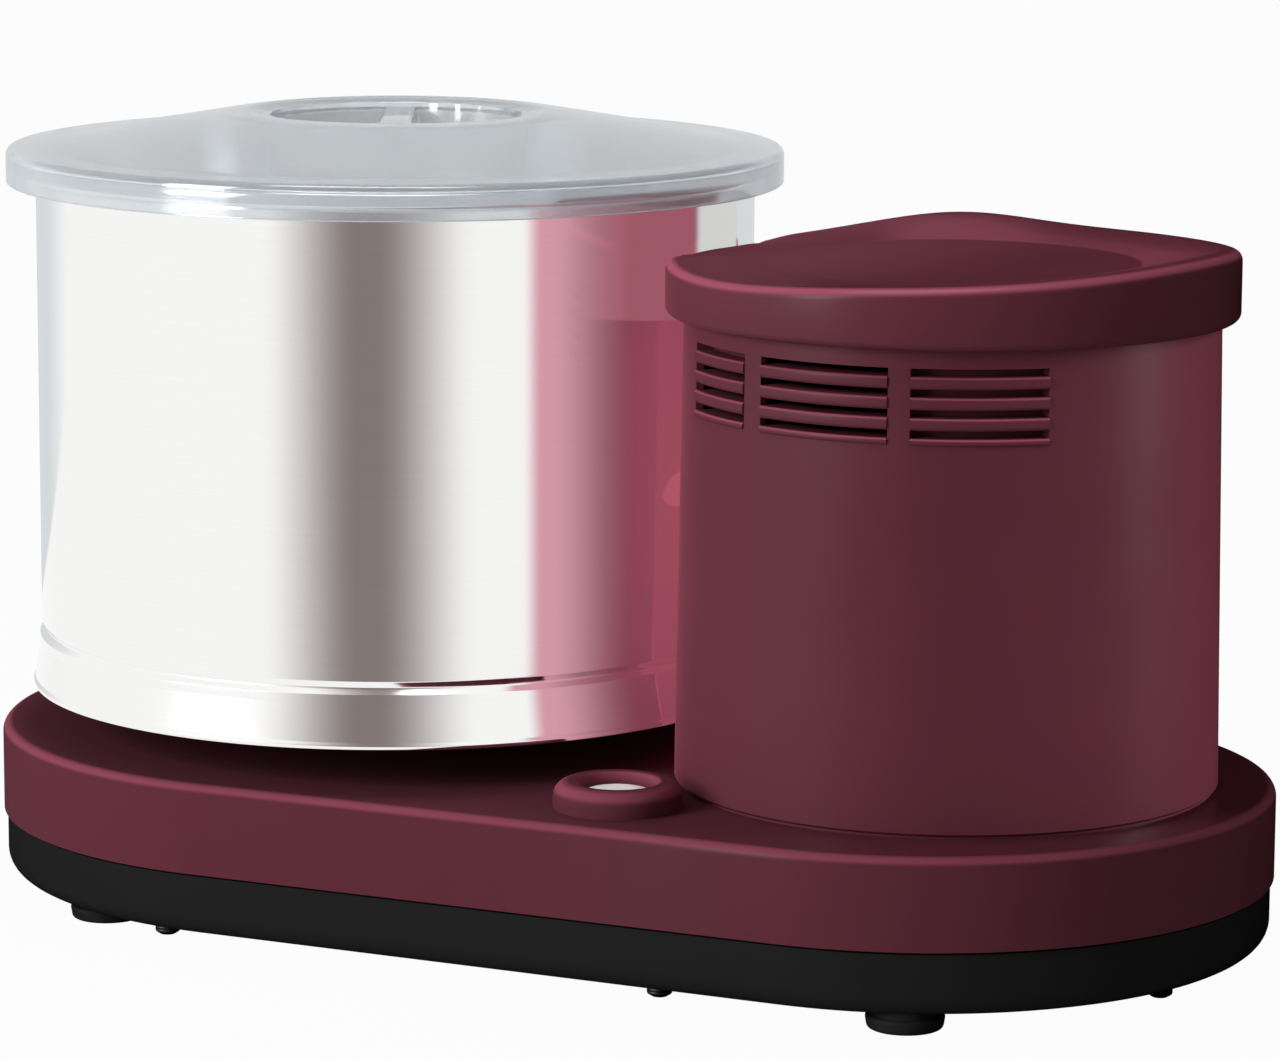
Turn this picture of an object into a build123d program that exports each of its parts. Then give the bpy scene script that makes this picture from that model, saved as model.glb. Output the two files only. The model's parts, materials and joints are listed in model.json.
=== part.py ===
from build123d import *

import os
from math import asin, cos, radians, sin

# Table-top wet grinder. A stainless drum with a stone floor turns on a fixed centre shaft. Two stone
# rollers stand still in it and roll on that floor. A motor in the tower turns the drum by a belt
# that runs inside the base. Millimetres, +Z up, origin at floor level under the middle of the base,
# +X from the drum towards the tower, and the button on the -Y side.

os.makedirs("parts", exist_ok=True)

# Base: black tray below, coloured cover above
drum_end_margin = 5.5
tower_end_margin = 28.8
foot_height = 6.6
tray_height = 21.0
cover_height = 29.5
casing_wall = 2.6
tray_floor = 3.0
cover_edge_chamfer = 2.2
tray_edge_chamfer = 4.6
tray_inset = 1.2
tray_wall = 4.0
seam_gap = 0.9
lip_height = 5.0
rib_places = (-30.0, 10.0, 50.0)
rib_height = 6.0
rib_wall = 2.0
air_slot_count = 7
air_slot_pitch = 9.0
air_slot_width = 3.0
air_slot_length = 46.0
foot_radius = 12.5
foot_end_inset = 77.1
foot_side_inset = 34.0

# Drum and lid
drum_inset = 9.9
drum_radius = 120.0
skirt_flare = 2.8
skirt_top_flare = 0.6
skirt_top_drop = 2.2
skirt_height = 19.4
drum_height = 178.1
drum_clearance = 14.3
steel_wall = 1.2
bead_depth = 1.0
bead_width = 2.4
rim_roll_width = 5.6
rim_roll_height = 5.6
rim_roll_chamfer = 1.6
drum_floor_drop = 3.6
floor_corner_chamfer = 4.0
lid_overhang = 9.8
lid_rim_height = 11.4
lid_wall = 2.2
lid_shoulder_inset = 13.8
lid_shoulder_rise = 0.7
lid_crown_radius = 54.0
lid_crown_rise = 11.4
lid_rise = 12.1
lid_edge_chamfer = 1.6
well_top_radius = 42.4
well_bottom_radius = 40.0
well_depth = 19.3
grip_width = 11.0
grip_drop = 3.0
grip_turn = -62.0

# Motor tower and its cap
tower_inset = 10.8
tower_bite = 1.3
tower_flare = 2.1
tower_height = 151.4
tower_ring_wall = 2.0
tower_ring_height = 3.0
nest_gap = 3.2
cap_overhang = 5.9
cap_height = 18.4
cap_edge_chamfer = 1.6
cap_lower_chamfer = 1.0
cap_roof_drop = 5.1
cap_spigot_height = 5.0
dish_radius = 62.0
dish_depth = 1.0
dish_wall_run = 13.0
dish_wall_rise = 6.8
swell_height = 6.0
swell_offset = 58.0
swell_radius = 52.0
swell_turn = 110.0

# Louvres: three groups of four slots under the cap
louvre_starts = (-134.6, -109.0, -74.3)
louvre_widths = (20.7, 30.1, 28.8)
slot_count = 4
slot_height = 2.5
slot_pitch = 6.3
louvre_drop = 6.0
slat_proud = 0.7
slat_nose_share = 0.4
slat_nose_step = 0.8

# Button and its raised ring
button_x = 43.0
button_edge_inset = 32.54
ring_radius = 20.4
ring_height = 8.4
ring_mouth_radius = 13.1
ring_bore_radius = 11.2
ring_throat_height = 4.4
ring_mouth_chamfer = 1.2
ring_edge_chamfer = 3.2
button_radius = 10.8
button_recess = 2.4
button_dome = 1.4
button_length = 12.0
button_travel = 2.5
dome_flat_share = 0.55

# Drum drive on the fixed centre shaft
centre_shaft_radius = 8.0
centre_shaft_top = 186.0
shaft_flat_length = 34.0
shaft_flat_depth = 1.5
shaft_flange_radius = 18.0
shaft_flange_height = 4.0
spindle_plate_side = 74.0
spindle_plate_thickness = 3.0
spindle_post_height = 3.0
spindle_post_side = 12.0
spindle_post_spacing = 56.0
hub_radius = 18.0
hub_bore_radius = 12.0
belt_height = 8.0
belt_thickness = 2.2
driven_pulley_radius = 80.0
driven_pulley_height = 14.0
pulley_lift = 3.0
pulley_rim_wall = 4.0
pulley_web_height = 4.0
motor_pulley_radius = 9.2
motor_pulley_margin = 2.0
drive_plate_radius = 55.0
drive_plate_height = 4.0
collar_radius = 25.0
collar_wall = 3.0
collar_height = 6.0
peg_count = 3
peg_circle_radius = 42.0
peg_radius = 5.0
peg_height = 7.0
coupling_radius = 62.0
spigot_height = 9.0
seat_above_skirt = 0.6

# Stones and the carrier that holds the rollers
stone_height = 24.0
stone_gap = 3.6
stone_chamfer = 2.0
tube_radius = 23.0
tube_rise = 20.0
lock_ring_width = 6.0
lock_ring_height = 5.0
roller_radius = 40.0
roller_wall_gap = 23.8
roller_start = 37.0
roller_chamfer = 4.0
axle_radius = 6.0
axle_start = 13.0
axle_overhang = 2.0
axle_nut_radius = 11.0
axle_nut_height = 6.0
carrier_radius = 28.0
carrier_gap = 3.0
carrier_block_height = 42.0
carrier_boss_radius = 11.0
knob_radius = 21.0
knob_neck_radius = 12.0
knob_neck_height = 9.5
knob_height = 22.0
knob_taper = 1.5
knob_top_wall = 6.5
scraper_ring_wall = 2.8
scraper_ring_height = 8.0
scraper_ring_drop = 1.0
scraper_arm_width = 14.0
scraper_turn = 90.0
scraper_half_angle = 6.5
scraper_gap = 0.8
scraper_thickness = 2.4
scraper_foot_gap = 1.3

# Motor
motor_plate_side_margin = 3.0
motor_plate_end_margin = 13.0
motor_surround = 36.9
motor_plate_thickness = 3.0
mount_side = 14.0
mount_height = 6.0
mount_edge_inset_x = 8.0
mount_edge_inset_y = 7.0
motor_opening_radius = 20.0
stator_side = 92.0
stator_height = 40.0
stator_corner_radius = 10.0
stator_bore_radius = 26.0
rotor_gap = 0.5
rotor_end_gap = 1.0
shield_height = 16.0
shaft_passage_radius = 11.0
motor_shaft_radius = 5.0
motor_shaft_margin = 1.0
fan_radius = 42.0
fan_height = 13.0
fan_gap = 4.0
fan_hub_radius = 9.0
fan_plate_height = 1.8
fan_blade_count = 7
fan_blade_thickness = 1.8
fan_blade_margin = 1.5

# Electrics
capacitor_radius = 14.0
capacitor_height = 52.0
capacitor_gap = 5.0
cutout_length = 16.0
cutout_width = 9.0
cutout_height = 5.0
terminal_length = 34.0
terminal_width = 16.0
terminal_height = 14.0
terminal_edge_inset = 32.5
terminal_count = 4
terminal_pitch = 8.0
terminal_well_width = 4.0
terminal_well_depth = 5.0
switch_side = 26.0
switch_height = 22.0
gland_x = 97.0
gland_radius = 8.0
gland_bore_radius = 3.75
gland_flange_radius = 10.5
gland_flange_width = 2.5
gland_tip_radius = 5.5
gland_reach = 11.5
gland_inner_reach = 10.6

# Fasteners and what they enter
screw_head_radius = 4.0
screw_head_height = 3.0
screw_post_radius = 5.0
tray_screw_inset = 11.0
tray_screw_side_x = 68.8
left_screw_angle = 95.3
right_screw_angle = 18.6

# Clearances
fit_gap = 0.2
slide_gap = 0.3
running_gap = 0.05
overrun = 2.0

# Sizes that follow from the drum
skirt_radius = drum_radius + skirt_flare
skirt_top_radius = drum_radius + skirt_top_flare
lid_radius = drum_radius + lid_overhang
left_end_radius = drum_radius + drum_end_margin
nest_radius = skirt_radius + nest_gap

# Sizes that follow from the motor
motor_plate_length = stator_side + 2 * motor_plate_end_margin
motor_plate_width = stator_side + 2 * motor_plate_side_margin
mount_spacing_x = motor_plate_length - 2 * mount_edge_inset_x
mount_spacing_y = motor_plate_width - 2 * mount_edge_inset_y
tower_bore_radius = stator_side / 2 + motor_surround
tower_top_radius = tower_bore_radius + casing_wall
tower_foot_radius = tower_top_radius + tower_flare
tower_ring_radius = tower_bore_radius - fit_gap
cap_radius = tower_top_radius + cap_overhang
right_end_radius = tower_foot_radius + tower_end_margin
capacitor_y = stator_side / 2 + capacitor_gap + capacitor_radius

# Centres and levels of the casing
axis_spacing = drum_radius + tower_top_radius - tower_bite
base_length = left_end_radius + right_end_radius + axis_spacing + drum_inset - tower_inset
left_centre_x = left_end_radius - base_length / 2
right_centre_x = base_length / 2 - right_end_radius
drum_x = left_centre_x + drum_inset
tower_x = right_centre_x + tower_inset
foot_x = base_length / 2 - foot_end_inset
foot_y = left_end_radius - foot_side_inset
tray_floor_z = foot_height + tray_floor
seam_z = foot_height + tray_height
tray_top_z = seam_z - seam_gap
post_join_z = seam_z + lip_height
deck_z = seam_z + cover_height
deck_under_z = deck_z - casing_wall
tower_top_z = deck_z + tower_height
cap_top_z = tower_top_z + cap_height
hub_opening_radius = collar_radius - collar_wall

# Levels of the drum, its stones, the lid and the carrier
skirt_bottom_z = deck_z + drum_clearance
bead_z = skirt_bottom_z + skirt_height
drum_rim_z = skirt_bottom_z + drum_height
drum_floor_z = bead_z - drum_floor_drop
floor_under_z = drum_floor_z - steel_wall
drum_bore = drum_radius - steel_wall
stone_top_z = drum_floor_z + stone_height
stone_bore = tube_radius + stone_gap
stone_radius = drum_bore - floor_corner_chamfer - fit_gap
tube_top_z = stone_top_z + tube_rise
lid_seat_z = drum_rim_z + slide_gap
lid_crease_z = lid_seat_z + lid_wall
lid_top_z = lid_crease_z + lid_rise
well_floor_z = lid_top_z - well_depth
roller_z = stone_top_z + slide_gap + roller_radius
roller_end = drum_bore - roller_wall_gap
roller_length = roller_end - roller_start
carrier_top_z = roller_z + carrier_block_height / 2
carrier_foot_z = tube_top_z + carrier_gap
shaft_flat_z = centre_shaft_top - shaft_flat_length
shaft_bore = centre_shaft_radius + slide_gap

# Levels of the drive, from the tray floor up
plate_z = tray_floor_z + spindle_post_height
flange_z = plate_z + spindle_plate_thickness
hub_bottom_z = flange_z + shaft_flange_height + slide_gap
drive_seat_z = skirt_bottom_z + seat_above_skirt
coupling_z = drive_seat_z + slide_gap
pulley_z = hub_bottom_z + pulley_lift
belt_z = pulley_z + (driven_pulley_height - belt_height) / 2

# Levels of the motor
motor_plate_z = deck_z + mount_height
shield_z = motor_plate_z + motor_plate_thickness
stator_z = shield_z + shield_height
stator_top_z = stator_z + stator_height
motor_top_z = stator_top_z + shield_height
fan_z = motor_top_z + fan_gap
rotor_radius = stator_bore_radius - rotor_gap
motor_pulley_z = belt_z - motor_pulley_margin


def level(x, z):
    """Horizontal plane at height z whose origin is on the vertical axis at x."""
    return Plane(origin=(x, 0, z), x_dir=(1, 0, 0), z_dir=(0, 0, 1))


def section(x, y=0, turn=0):
    """Upright half plane for revolved profiles: across is radius, up is height."""
    across = (cos(radians(turn)), sin(radians(turn)), 0)
    normal = (sin(radians(turn)), -cos(radians(turn)), 0)
    return Plane(origin=(x, y, 0), x_dir=across, z_dir=normal)


def sideways(x, z):
    """Plane across the roller axis: its origin is on that axis at x, its normal is +X."""
    return Plane(origin=(drum_x + x, 0, z), x_dir=(0, 1, 0), z_dir=(1, 0, 0))


def upright(x, y=0):
    """Vertical axis through a point of the plan."""
    return Axis((x, y, 0), (0, 0, 1))


def around(x, radius, angles):
    """Plan points on a circle about the vertical axis at x."""
    return [(x + radius * cos(radians(a)), radius * sin(radians(a))) for a in angles]


def four_points(x, spacing_x, spacing_y):
    """Corners of a rectangle in plan, centred on the vertical axis at x."""
    return [
        (x + across * spacing_x / 2, along * spacing_y / 2)
        for across in (-1, 1)
        for along in (-1, 1)
    ]


def tangent_loop(left_x, left_r, right_x, right_r, mode=Mode.ADD):
    """Face bounded by two end arcs joined by their outer tangents."""
    lean = asin((left_r - right_r) / (right_x - left_x))
    left_point = (left_x + left_r * sin(lean), left_r * cos(lean))
    right_point = (right_x + right_r * sin(lean), right_r * cos(lean))
    left_low = (left_point[0], -left_point[1])
    right_low = (right_point[0], -right_point[1])
    with BuildLine() as loop:
        Line(left_point, right_point)
        ThreePointArc(right_point, (right_x + right_r, 0), right_low)
        Line(right_low, left_low)
        ThreePointArc(left_low, (left_x - left_r, 0), left_point)
    make_face(loop.edges(), mode=mode)


def base_outline(inset, mode=Mode.ADD):
    """Plan of the base, drawn inset from its edge."""
    tangent_loop(
        left_centre_x, left_end_radius - inset, right_centre_x, right_end_radius - inset, mode
    )


def outline(*corners):
    """Closed profile with sharp corners given as across and up."""
    with BuildLine() as loop:
        Polyline(*corners, close=True)
    make_face(loop.edges())


def save(piece, name):
    """Name the finished piece and write its file."""
    piece.part.label = name
    export_step(piece.part, f"parts/{name}.step")


# The straight sides of the base lean in by this angle towards the tower
side_lean = asin((left_end_radius - right_end_radius) / (right_centre_x - left_centre_x))


def edge_y(x):
    """Half width of the base's straight side at x."""
    return (left_end_radius - (x - left_centre_x) * sin(side_lean)) / cos(side_lean)


# Points in plan that several pieces share
side_screw_y = edge_y(tray_screw_side_x) - tray_screw_inset
tray_screw_points = (
    around(
        left_centre_x, left_end_radius - tray_screw_inset, (left_screw_angle, 180, -left_screw_angle)
    )
    + around(
        right_centre_x, right_end_radius - tray_screw_inset, (right_screw_angle, -right_screw_angle)
    )
    + [(tray_screw_side_x, side_screw_y), (tray_screw_side_x, -side_screw_y)]
)
foot_points = four_points(0, 2 * foot_x, 2 * foot_y)
spindle_post_points = four_points(drum_x, spindle_post_spacing, spindle_post_spacing)
mount_points = four_points(tower_x, mount_spacing_x, mount_spacing_y)
button_y = button_edge_inset - edge_y(button_x)
button_top_z = deck_z + ring_height - button_recess
button_foot_z = button_top_z - button_length
slat_height = slot_pitch - slot_height
gland_point = (gland_x, edge_y(gland_x), seam_z + cover_height / 2)
gland_normal = (sin(side_lean), cos(side_lean), 0)
terminal_x = right_centre_x - terminal_length
terminal_y = edge_y(right_centre_x) - terminal_edge_inset

# Base cover: hollow shell with the deck, spill collar, button ring, tower ring and motor opening
with BuildPart() as base_cover:
    with BuildSketch(Plane.XY.offset(seam_z)):
        base_outline(0)
    extrude(amount=cover_height)
    chamfer(base_cover.faces().sort_by(Axis.Z)[-1].edges(), length=cover_edge_chamfer)
    with BuildSketch(Plane.XY.offset(seam_z - overrun)):
        base_outline(casing_wall)
    extrude(amount=cover_height - casing_wall + overrun, mode=Mode.SUBTRACT)
    with BuildSketch(level(drum_x, deck_under_z)):
        Circle(collar_radius)
    extrude(amount=casing_wall + collar_height)
    with BuildSketch(level(tower_x, deck_under_z)):
        Circle(tower_ring_radius)
        Circle(tower_ring_radius - tower_ring_wall, mode=Mode.SUBTRACT)
        with Locations((-axis_spacing, 0)):
            Circle(nest_radius + casing_wall + fit_gap, mode=Mode.SUBTRACT)
    extrude(amount=casing_wall + tower_ring_height)
    with BuildSketch(Plane.XY.offset(post_join_z)):
        with Locations(tray_screw_points):
            RegularPolygon(screw_post_radius, 6)
    extrude(amount=deck_under_z - post_join_z)
    with BuildSketch(section(button_x, button_y)):
        outline(
            (ring_bore_radius, deck_under_z),
            (ring_bore_radius, deck_z + ring_throat_height),
            (ring_mouth_radius, deck_z + ring_height - ring_mouth_chamfer),
            (ring_mouth_radius + ring_mouth_chamfer, deck_z + ring_height),
            (ring_radius - ring_edge_chamfer, deck_z + ring_height),
            (ring_radius, deck_z + ring_height - ring_edge_chamfer),
            (ring_radius, deck_under_z),
        )
    revolve(axis=upright(button_x, button_y))
    with BuildSketch(Plane.XY.offset(deck_under_z - overrun)):
        with Locations((button_x, button_y)):
            Circle(ring_bore_radius)
        with Locations((tower_x, 0)):
            Circle(motor_opening_radius)
    extrude(amount=casing_wall + 2 * overrun, mode=Mode.SUBTRACT)
    with BuildSketch(level(drum_x, deck_under_z - overrun)):
        Circle(hub_opening_radius)
    extrude(amount=casing_wall + collar_height + 2 * overrun, mode=Mode.SUBTRACT)
    with BuildSketch(Plane(origin=gland_point, x_dir=(0, 0, 1), z_dir=gland_normal)):
        Circle(gland_radius + fit_gap)
    extrude(amount=-(casing_wall + overrun), mode=Mode.SUBTRACT)
save(base_cover, "base_cover")

# Base tray: tub with a sloped lower edge, a lip that enters the cover, posts, ribs and air slots
with BuildPart() as base_tray:
    with BuildSketch(Plane.XY.offset(foot_height)):
        base_outline(tray_inset)
    extrude(amount=tray_top_z - foot_height)
    chamfer(base_tray.faces().sort_by(Axis.Z)[0].edges(), length=tray_edge_chamfer)
    with BuildSketch(Plane.XY.offset(tray_floor_z)):
        base_outline(tray_inset + tray_wall)
    extrude(amount=tray_height, mode=Mode.SUBTRACT)
    with BuildSketch(Plane.XY.offset(tray_floor_z)):
        base_outline(casing_wall + fit_gap)
        base_outline(tray_inset + tray_wall, mode=Mode.SUBTRACT)
    extrude(amount=tray_top_z + lip_height - tray_floor_z)
    with BuildSketch(Plane.XY.offset(tray_floor_z)):
        with Locations(tray_screw_points):
            RegularPolygon(screw_post_radius, 6)
    extrude(amount=post_join_z - tray_floor_z)
    with BuildSketch(Plane.XY.offset(tray_floor_z)):
        with Locations(spindle_post_points):
            Rectangle(spindle_post_side, spindle_post_side)
    extrude(amount=spindle_post_height)
    for x in rib_places:
        with BuildSketch(Plane.XY.offset(tray_floor_z)):
            with Locations((x, 0)):
                Rectangle(rib_wall, 2 * (edge_y(x) - tray_inset - tray_wall))
        extrude(amount=rib_height)
    with BuildSketch(Plane.XY.offset(foot_height - overrun)):
        with Locations((tower_x, 0)):
            with GridLocations(0, air_slot_pitch, 1, air_slot_count):
                Rectangle(air_slot_length, air_slot_width)
    extrude(amount=tray_floor + 2 * overrun, mode=Mode.SUBTRACT)
save(base_tray, "base_tray")

# Rubber feet: round pads under the tray
with BuildPart() as rubber_feet:
    with BuildSketch():
        with Locations(foot_points):
            Circle(foot_radius)
    extrude(amount=foot_height)
save(rubber_feet, "rubber_feet")

# Heads of the screws that hold the tray to the cover's posts
with BuildPart() as tray_screws:
    with BuildSketch(Plane.XY.offset(foot_height)):
        with Locations(tray_screw_points):
            RegularPolygon(screw_head_radius, 6)
    extrude(amount=-screw_head_height)
save(tray_screws, "tray_screws")

# Spindle plate: steel plate on the tray posts that carries the centre shaft
with BuildPart() as spindle_plate:
    with BuildSketch(level(drum_x, plate_z)):
        Rectangle(spindle_plate_side, spindle_plate_side)
    extrude(amount=spindle_plate_thickness)
save(spindle_plate, "spindle_plate")

# Centre shaft: fixed, with a flange below and two flats at its top that stop the carrier turning
with BuildPart() as centre_shaft:
    with BuildSketch(section(drum_x)):
        outline(
            (0, flange_z),
            (shaft_flange_radius, flange_z),
            (shaft_flange_radius, flange_z + shaft_flange_height),
            (centre_shaft_radius, flange_z + shaft_flange_height),
            (centre_shaft_radius, centre_shaft_top),
            (0, centre_shaft_top),
        )
    revolve(axis=upright(drum_x))
    with BuildSketch(level(drum_x, shaft_flat_z)):
        with Locations((0, centre_shaft_radius), (0, -centre_shaft_radius)):
            Rectangle(2 * centre_shaft_radius, 2 * shaft_flat_depth)
    extrude(amount=shaft_flat_length + overrun, mode=Mode.SUBTRACT)
save(centre_shaft, "centre_shaft")

# Drive hub: sleeve with the drive plate, its pegs and the spigot that centres the drum
with BuildPart() as drive_hub:
    with BuildSketch(section(drum_x)):
        outline(
            (hub_bore_radius, hub_bottom_z),
            (hub_radius, hub_bottom_z),
            (hub_radius, drive_seat_z - drive_plate_height),
            (drive_plate_radius, drive_seat_z - drive_plate_height),
            (drive_plate_radius, drive_seat_z),
            (hub_radius, drive_seat_z),
            (hub_radius, drive_seat_z + spigot_height),
            (hub_bore_radius, drive_seat_z + spigot_height),
        )
    revolve(axis=upright(drum_x))
    with BuildSketch(level(drum_x, drive_seat_z)):
        with PolarLocations(peg_circle_radius, peg_count):
            Circle(peg_radius)
    extrude(amount=peg_height)
save(drive_hub, "drive_hub")

# Hub bearing: long sleeve bearing pressed into the hub, which runs on the centre shaft
with BuildPart() as hub_bearing:
    with BuildSketch(level(drum_x, hub_bottom_z)):
        Circle(hub_bore_radius)
        Circle(centre_shaft_radius + running_gap, mode=Mode.SUBTRACT)
    extrude(amount=drive_seat_z - hub_bottom_z)
save(hub_bearing, "hub_bearing")

# Driven pulley: web and rim, fastened round the hub sleeve
with BuildPart() as driven_pulley:
    with BuildSketch(section(drum_x)):
        outline(
            (hub_radius, pulley_z),
            (driven_pulley_radius, pulley_z),
            (driven_pulley_radius, pulley_z + driven_pulley_height),
            (driven_pulley_radius - pulley_rim_wall, pulley_z + driven_pulley_height),
            (driven_pulley_radius - pulley_rim_wall, pulley_z + pulley_web_height),
            (hub_radius, pulley_z + pulley_web_height),
        )
    revolve(axis=upright(drum_x))
save(driven_pulley, "driven_pulley")

# Drive belt: flat loop round both pulleys
with BuildPart() as drive_belt:
    with BuildSketch(Plane.XY.offset(belt_z)):
        tangent_loop(
            drum_x,
            driven_pulley_radius + slide_gap + belt_thickness,
            tower_x,
            motor_pulley_radius + slide_gap + belt_thickness,
        )
        tangent_loop(
            drum_x,
            driven_pulley_radius + slide_gap,
            tower_x,
            motor_pulley_radius + slide_gap,
            mode=Mode.SUBTRACT,
        )
    extrude(amount=belt_height)
save(drive_belt, "drive_belt")

# Drum shell: pressed bowl with a bead at its foot and a rolled rim
with BuildPart() as drum_shell:
    with BuildSketch(section(drum_x)):
        outline(
            (tube_radius, drum_floor_z),
            (drum_bore - floor_corner_chamfer, drum_floor_z),
            (drum_bore, drum_floor_z + floor_corner_chamfer),
            (drum_bore, drum_rim_z),
            (drum_radius + rim_roll_width - rim_roll_chamfer, drum_rim_z),
            (drum_radius + rim_roll_width, drum_rim_z - rim_roll_height / 2),
            (drum_radius + rim_roll_width - rim_roll_chamfer, drum_rim_z - rim_roll_height),
            (drum_radius, drum_rim_z - rim_roll_height),
            (drum_radius, bead_z + bead_width / 2),
            (drum_radius - bead_depth, bead_z),
            (skirt_top_radius, bead_z - skirt_top_drop),
            (skirt_top_radius, floor_under_z),
            (tube_radius, floor_under_z),
        )
    revolve(axis=upright(drum_x))
save(drum_shell, "drum_shell")

# Drum skirt: flared ring under the drum's edge
with BuildPart() as drum_skirt:
    with BuildSketch(section(drum_x)):
        outline(
            (skirt_radius - steel_wall, skirt_bottom_z),
            (skirt_radius, skirt_bottom_z),
            (skirt_top_radius, floor_under_z),
            (skirt_top_radius - steel_wall, floor_under_z),
        )
    revolve(axis=upright(drum_x))
save(drum_skirt, "drum_skirt")

# Drum tube: upright tube in the middle of the drum floor, round the fixed shaft
with BuildPart() as drum_tube:
    with BuildSketch(level(drum_x, floor_under_z)):
        Circle(tube_radius)
        Circle(tube_radius - steel_wall, mode=Mode.SUBTRACT)
    extrude(amount=tube_top_z - floor_under_z)
save(drum_tube, "drum_tube")

# Floor stone: granite ring on the drum floor
with BuildPart() as floor_stone:
    with BuildSketch(section(drum_x)):
        outline(
            (stone_bore, drum_floor_z),
            (stone_radius, drum_floor_z),
            (stone_radius, stone_top_z - stone_chamfer),
            (stone_radius - stone_chamfer, stone_top_z),
            (stone_bore, stone_top_z),
        )
    revolve(axis=upright(drum_x))
save(floor_stone, "floor_stone")

# Stone lock ring: holds the floor stone down round the tube
with BuildPart() as stone_lock_ring:
    with BuildSketch(level(drum_x, stone_top_z)):
        Circle(stone_bore + lock_ring_width)
        Circle(tube_radius + running_gap, mode=Mode.SUBTRACT)
    extrude(amount=lock_ring_height)
save(stone_lock_ring, "stone_lock_ring")

# Drum coupling: boss under the drum floor with sockets for the hub's pegs and spigot
with BuildPart() as drum_coupling:
    with BuildSketch(level(drum_x, coupling_z)):
        Circle(coupling_radius)
        Circle(hub_radius + slide_gap, mode=Mode.SUBTRACT)
    extrude(amount=floor_under_z - coupling_z)
    with BuildSketch(level(drum_x, coupling_z)):
        with PolarLocations(peg_circle_radius, peg_count):
            Circle(peg_radius + slide_gap)
    extrude(amount=peg_height + slide_gap, mode=Mode.SUBTRACT)
save(drum_coupling, "drum_coupling")

# Lid: clear dome with a turned-down rim, a finger well in its middle and a grip bar across the well
with BuildPart() as lid:
    with BuildSketch(level(drum_x, well_floor_z).rotated((0, 0, grip_turn))):
        Rectangle(2 * lid_crown_radius, grip_width)
    extrude(amount=lid_top_z - grip_drop - well_floor_z)
    with BuildSketch(section(drum_x)):
        outline(
            (0, well_floor_z),
            (well_bottom_radius + lid_wall / 2, well_floor_z),
            (well_top_radius + lid_wall / 2, lid_top_z),
            (0, lid_top_z),
        )
    revolve(axis=upright(drum_x), mode=Mode.INTERSECT)
    with BuildSketch(section(drum_x)):
        outline(
            (lid_radius, lid_crease_z - lid_rim_height),
            (lid_radius, lid_crease_z - lid_edge_chamfer),
            (lid_radius - lid_edge_chamfer, lid_crease_z),
            (lid_radius - lid_shoulder_inset, lid_crease_z + lid_shoulder_rise),
            (lid_crown_radius, lid_crease_z + lid_crown_rise),
            (well_top_radius, lid_top_z),
            (well_bottom_radius, well_floor_z),
            (0, well_floor_z),
            (0, well_floor_z - lid_wall),
            (well_bottom_radius + lid_wall, well_floor_z - lid_wall),
            (well_top_radius + lid_wall, lid_top_z - lid_wall),
            (lid_radius - lid_shoulder_inset, lid_seat_z),
            (lid_radius - lid_wall, lid_seat_z),
            (lid_radius - lid_wall, lid_crease_z - lid_rim_height),
        )
    revolve(axis=upright(drum_x))
save(lid, "lid")

# Stone carrier: block on the centre shaft, locked by the shaft's flats, with a boss for each axle
with BuildPart() as stone_carrier:
    with BuildSketch(level(drum_x, carrier_foot_z)):
        Circle(carrier_radius)
    extrude(amount=carrier_top_z - carrier_foot_z)
    with BuildSketch(sideways(-roller_start + slide_gap, roller_z)):
        Circle(carrier_boss_radius)
    extrude(amount=2 * (roller_start - slide_gap))
    with BuildSketch(level(drum_x, carrier_foot_z)):
        Circle(shaft_bore)
    extrude(amount=shaft_flat_z + carrier_gap - carrier_foot_z, mode=Mode.SUBTRACT)
    with BuildSketch(level(drum_x, shaft_flat_z)):
        Circle(shaft_bore)
        Rectangle(2 * shaft_bore, 2 * (shaft_bore - shaft_flat_depth), mode=Mode.INTERSECT)
    extrude(amount=carrier_top_z - shaft_flat_z, mode=Mode.SUBTRACT)
    for side in (-1, 1):
        with BuildSketch(sideways(side * axle_start, roller_z)):
            Circle(axle_radius + running_gap)
        extrude(amount=side * roller_start, mode=Mode.SUBTRACT)
save(stone_carrier, "stone_carrier")

# Roller axles: two pins fixed in the carrier
with BuildPart() as roller_axles:
    for side in (-1, 1):
        with BuildSketch(sideways(side * axle_start, roller_z)):
            Circle(axle_radius)
        extrude(
            amount=side * (roller_end + slide_gap + axle_nut_height + axle_overhang - axle_start)
        )
save(roller_axles, "roller_axles")

# Axle nuts: keep the rollers on their axles
with BuildPart() as axle_nuts:
    for side in (-1, 1):
        with BuildSketch(sideways(side * (roller_end + slide_gap), roller_z)):
            RegularPolygon(axle_nut_radius, 6)
            Circle(axle_radius + running_gap, mode=Mode.SUBTRACT)
        extrude(amount=side * axle_nut_height)
save(axle_nuts, "axle_nuts")


def roller(side, bore, radius, rim_chamfer):
    """Ring round one axle, as long as a roller, with both outer rims chamfered."""
    start = drum_x + side * roller_start
    end = drum_x + side * roller_end
    with BuildPart() as made:
        with BuildSketch(Plane.XZ):
            outline(
                (start, roller_z + bore),
                (start, roller_z + radius - rim_chamfer),
                (start + side * rim_chamfer, roller_z + radius),
                (end - side * rim_chamfer, roller_z + radius),
                (end, roller_z + radius - rim_chamfer),
                (end, roller_z + bore),
            )
        revolve(axis=Axis((drum_x, 0, roller_z), (1, 0, 0)))
    return made


# Roller on the far side from the tower
left_roller_stone = roller(-1, axle_radius + running_gap, roller_radius, roller_chamfer)
save(left_roller_stone, "left_roller_stone")

# Roller on the tower side
right_roller_stone = roller(1, axle_radius + running_gap, roller_radius, roller_chamfer)
save(right_roller_stone, "right_roller_stone")

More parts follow.
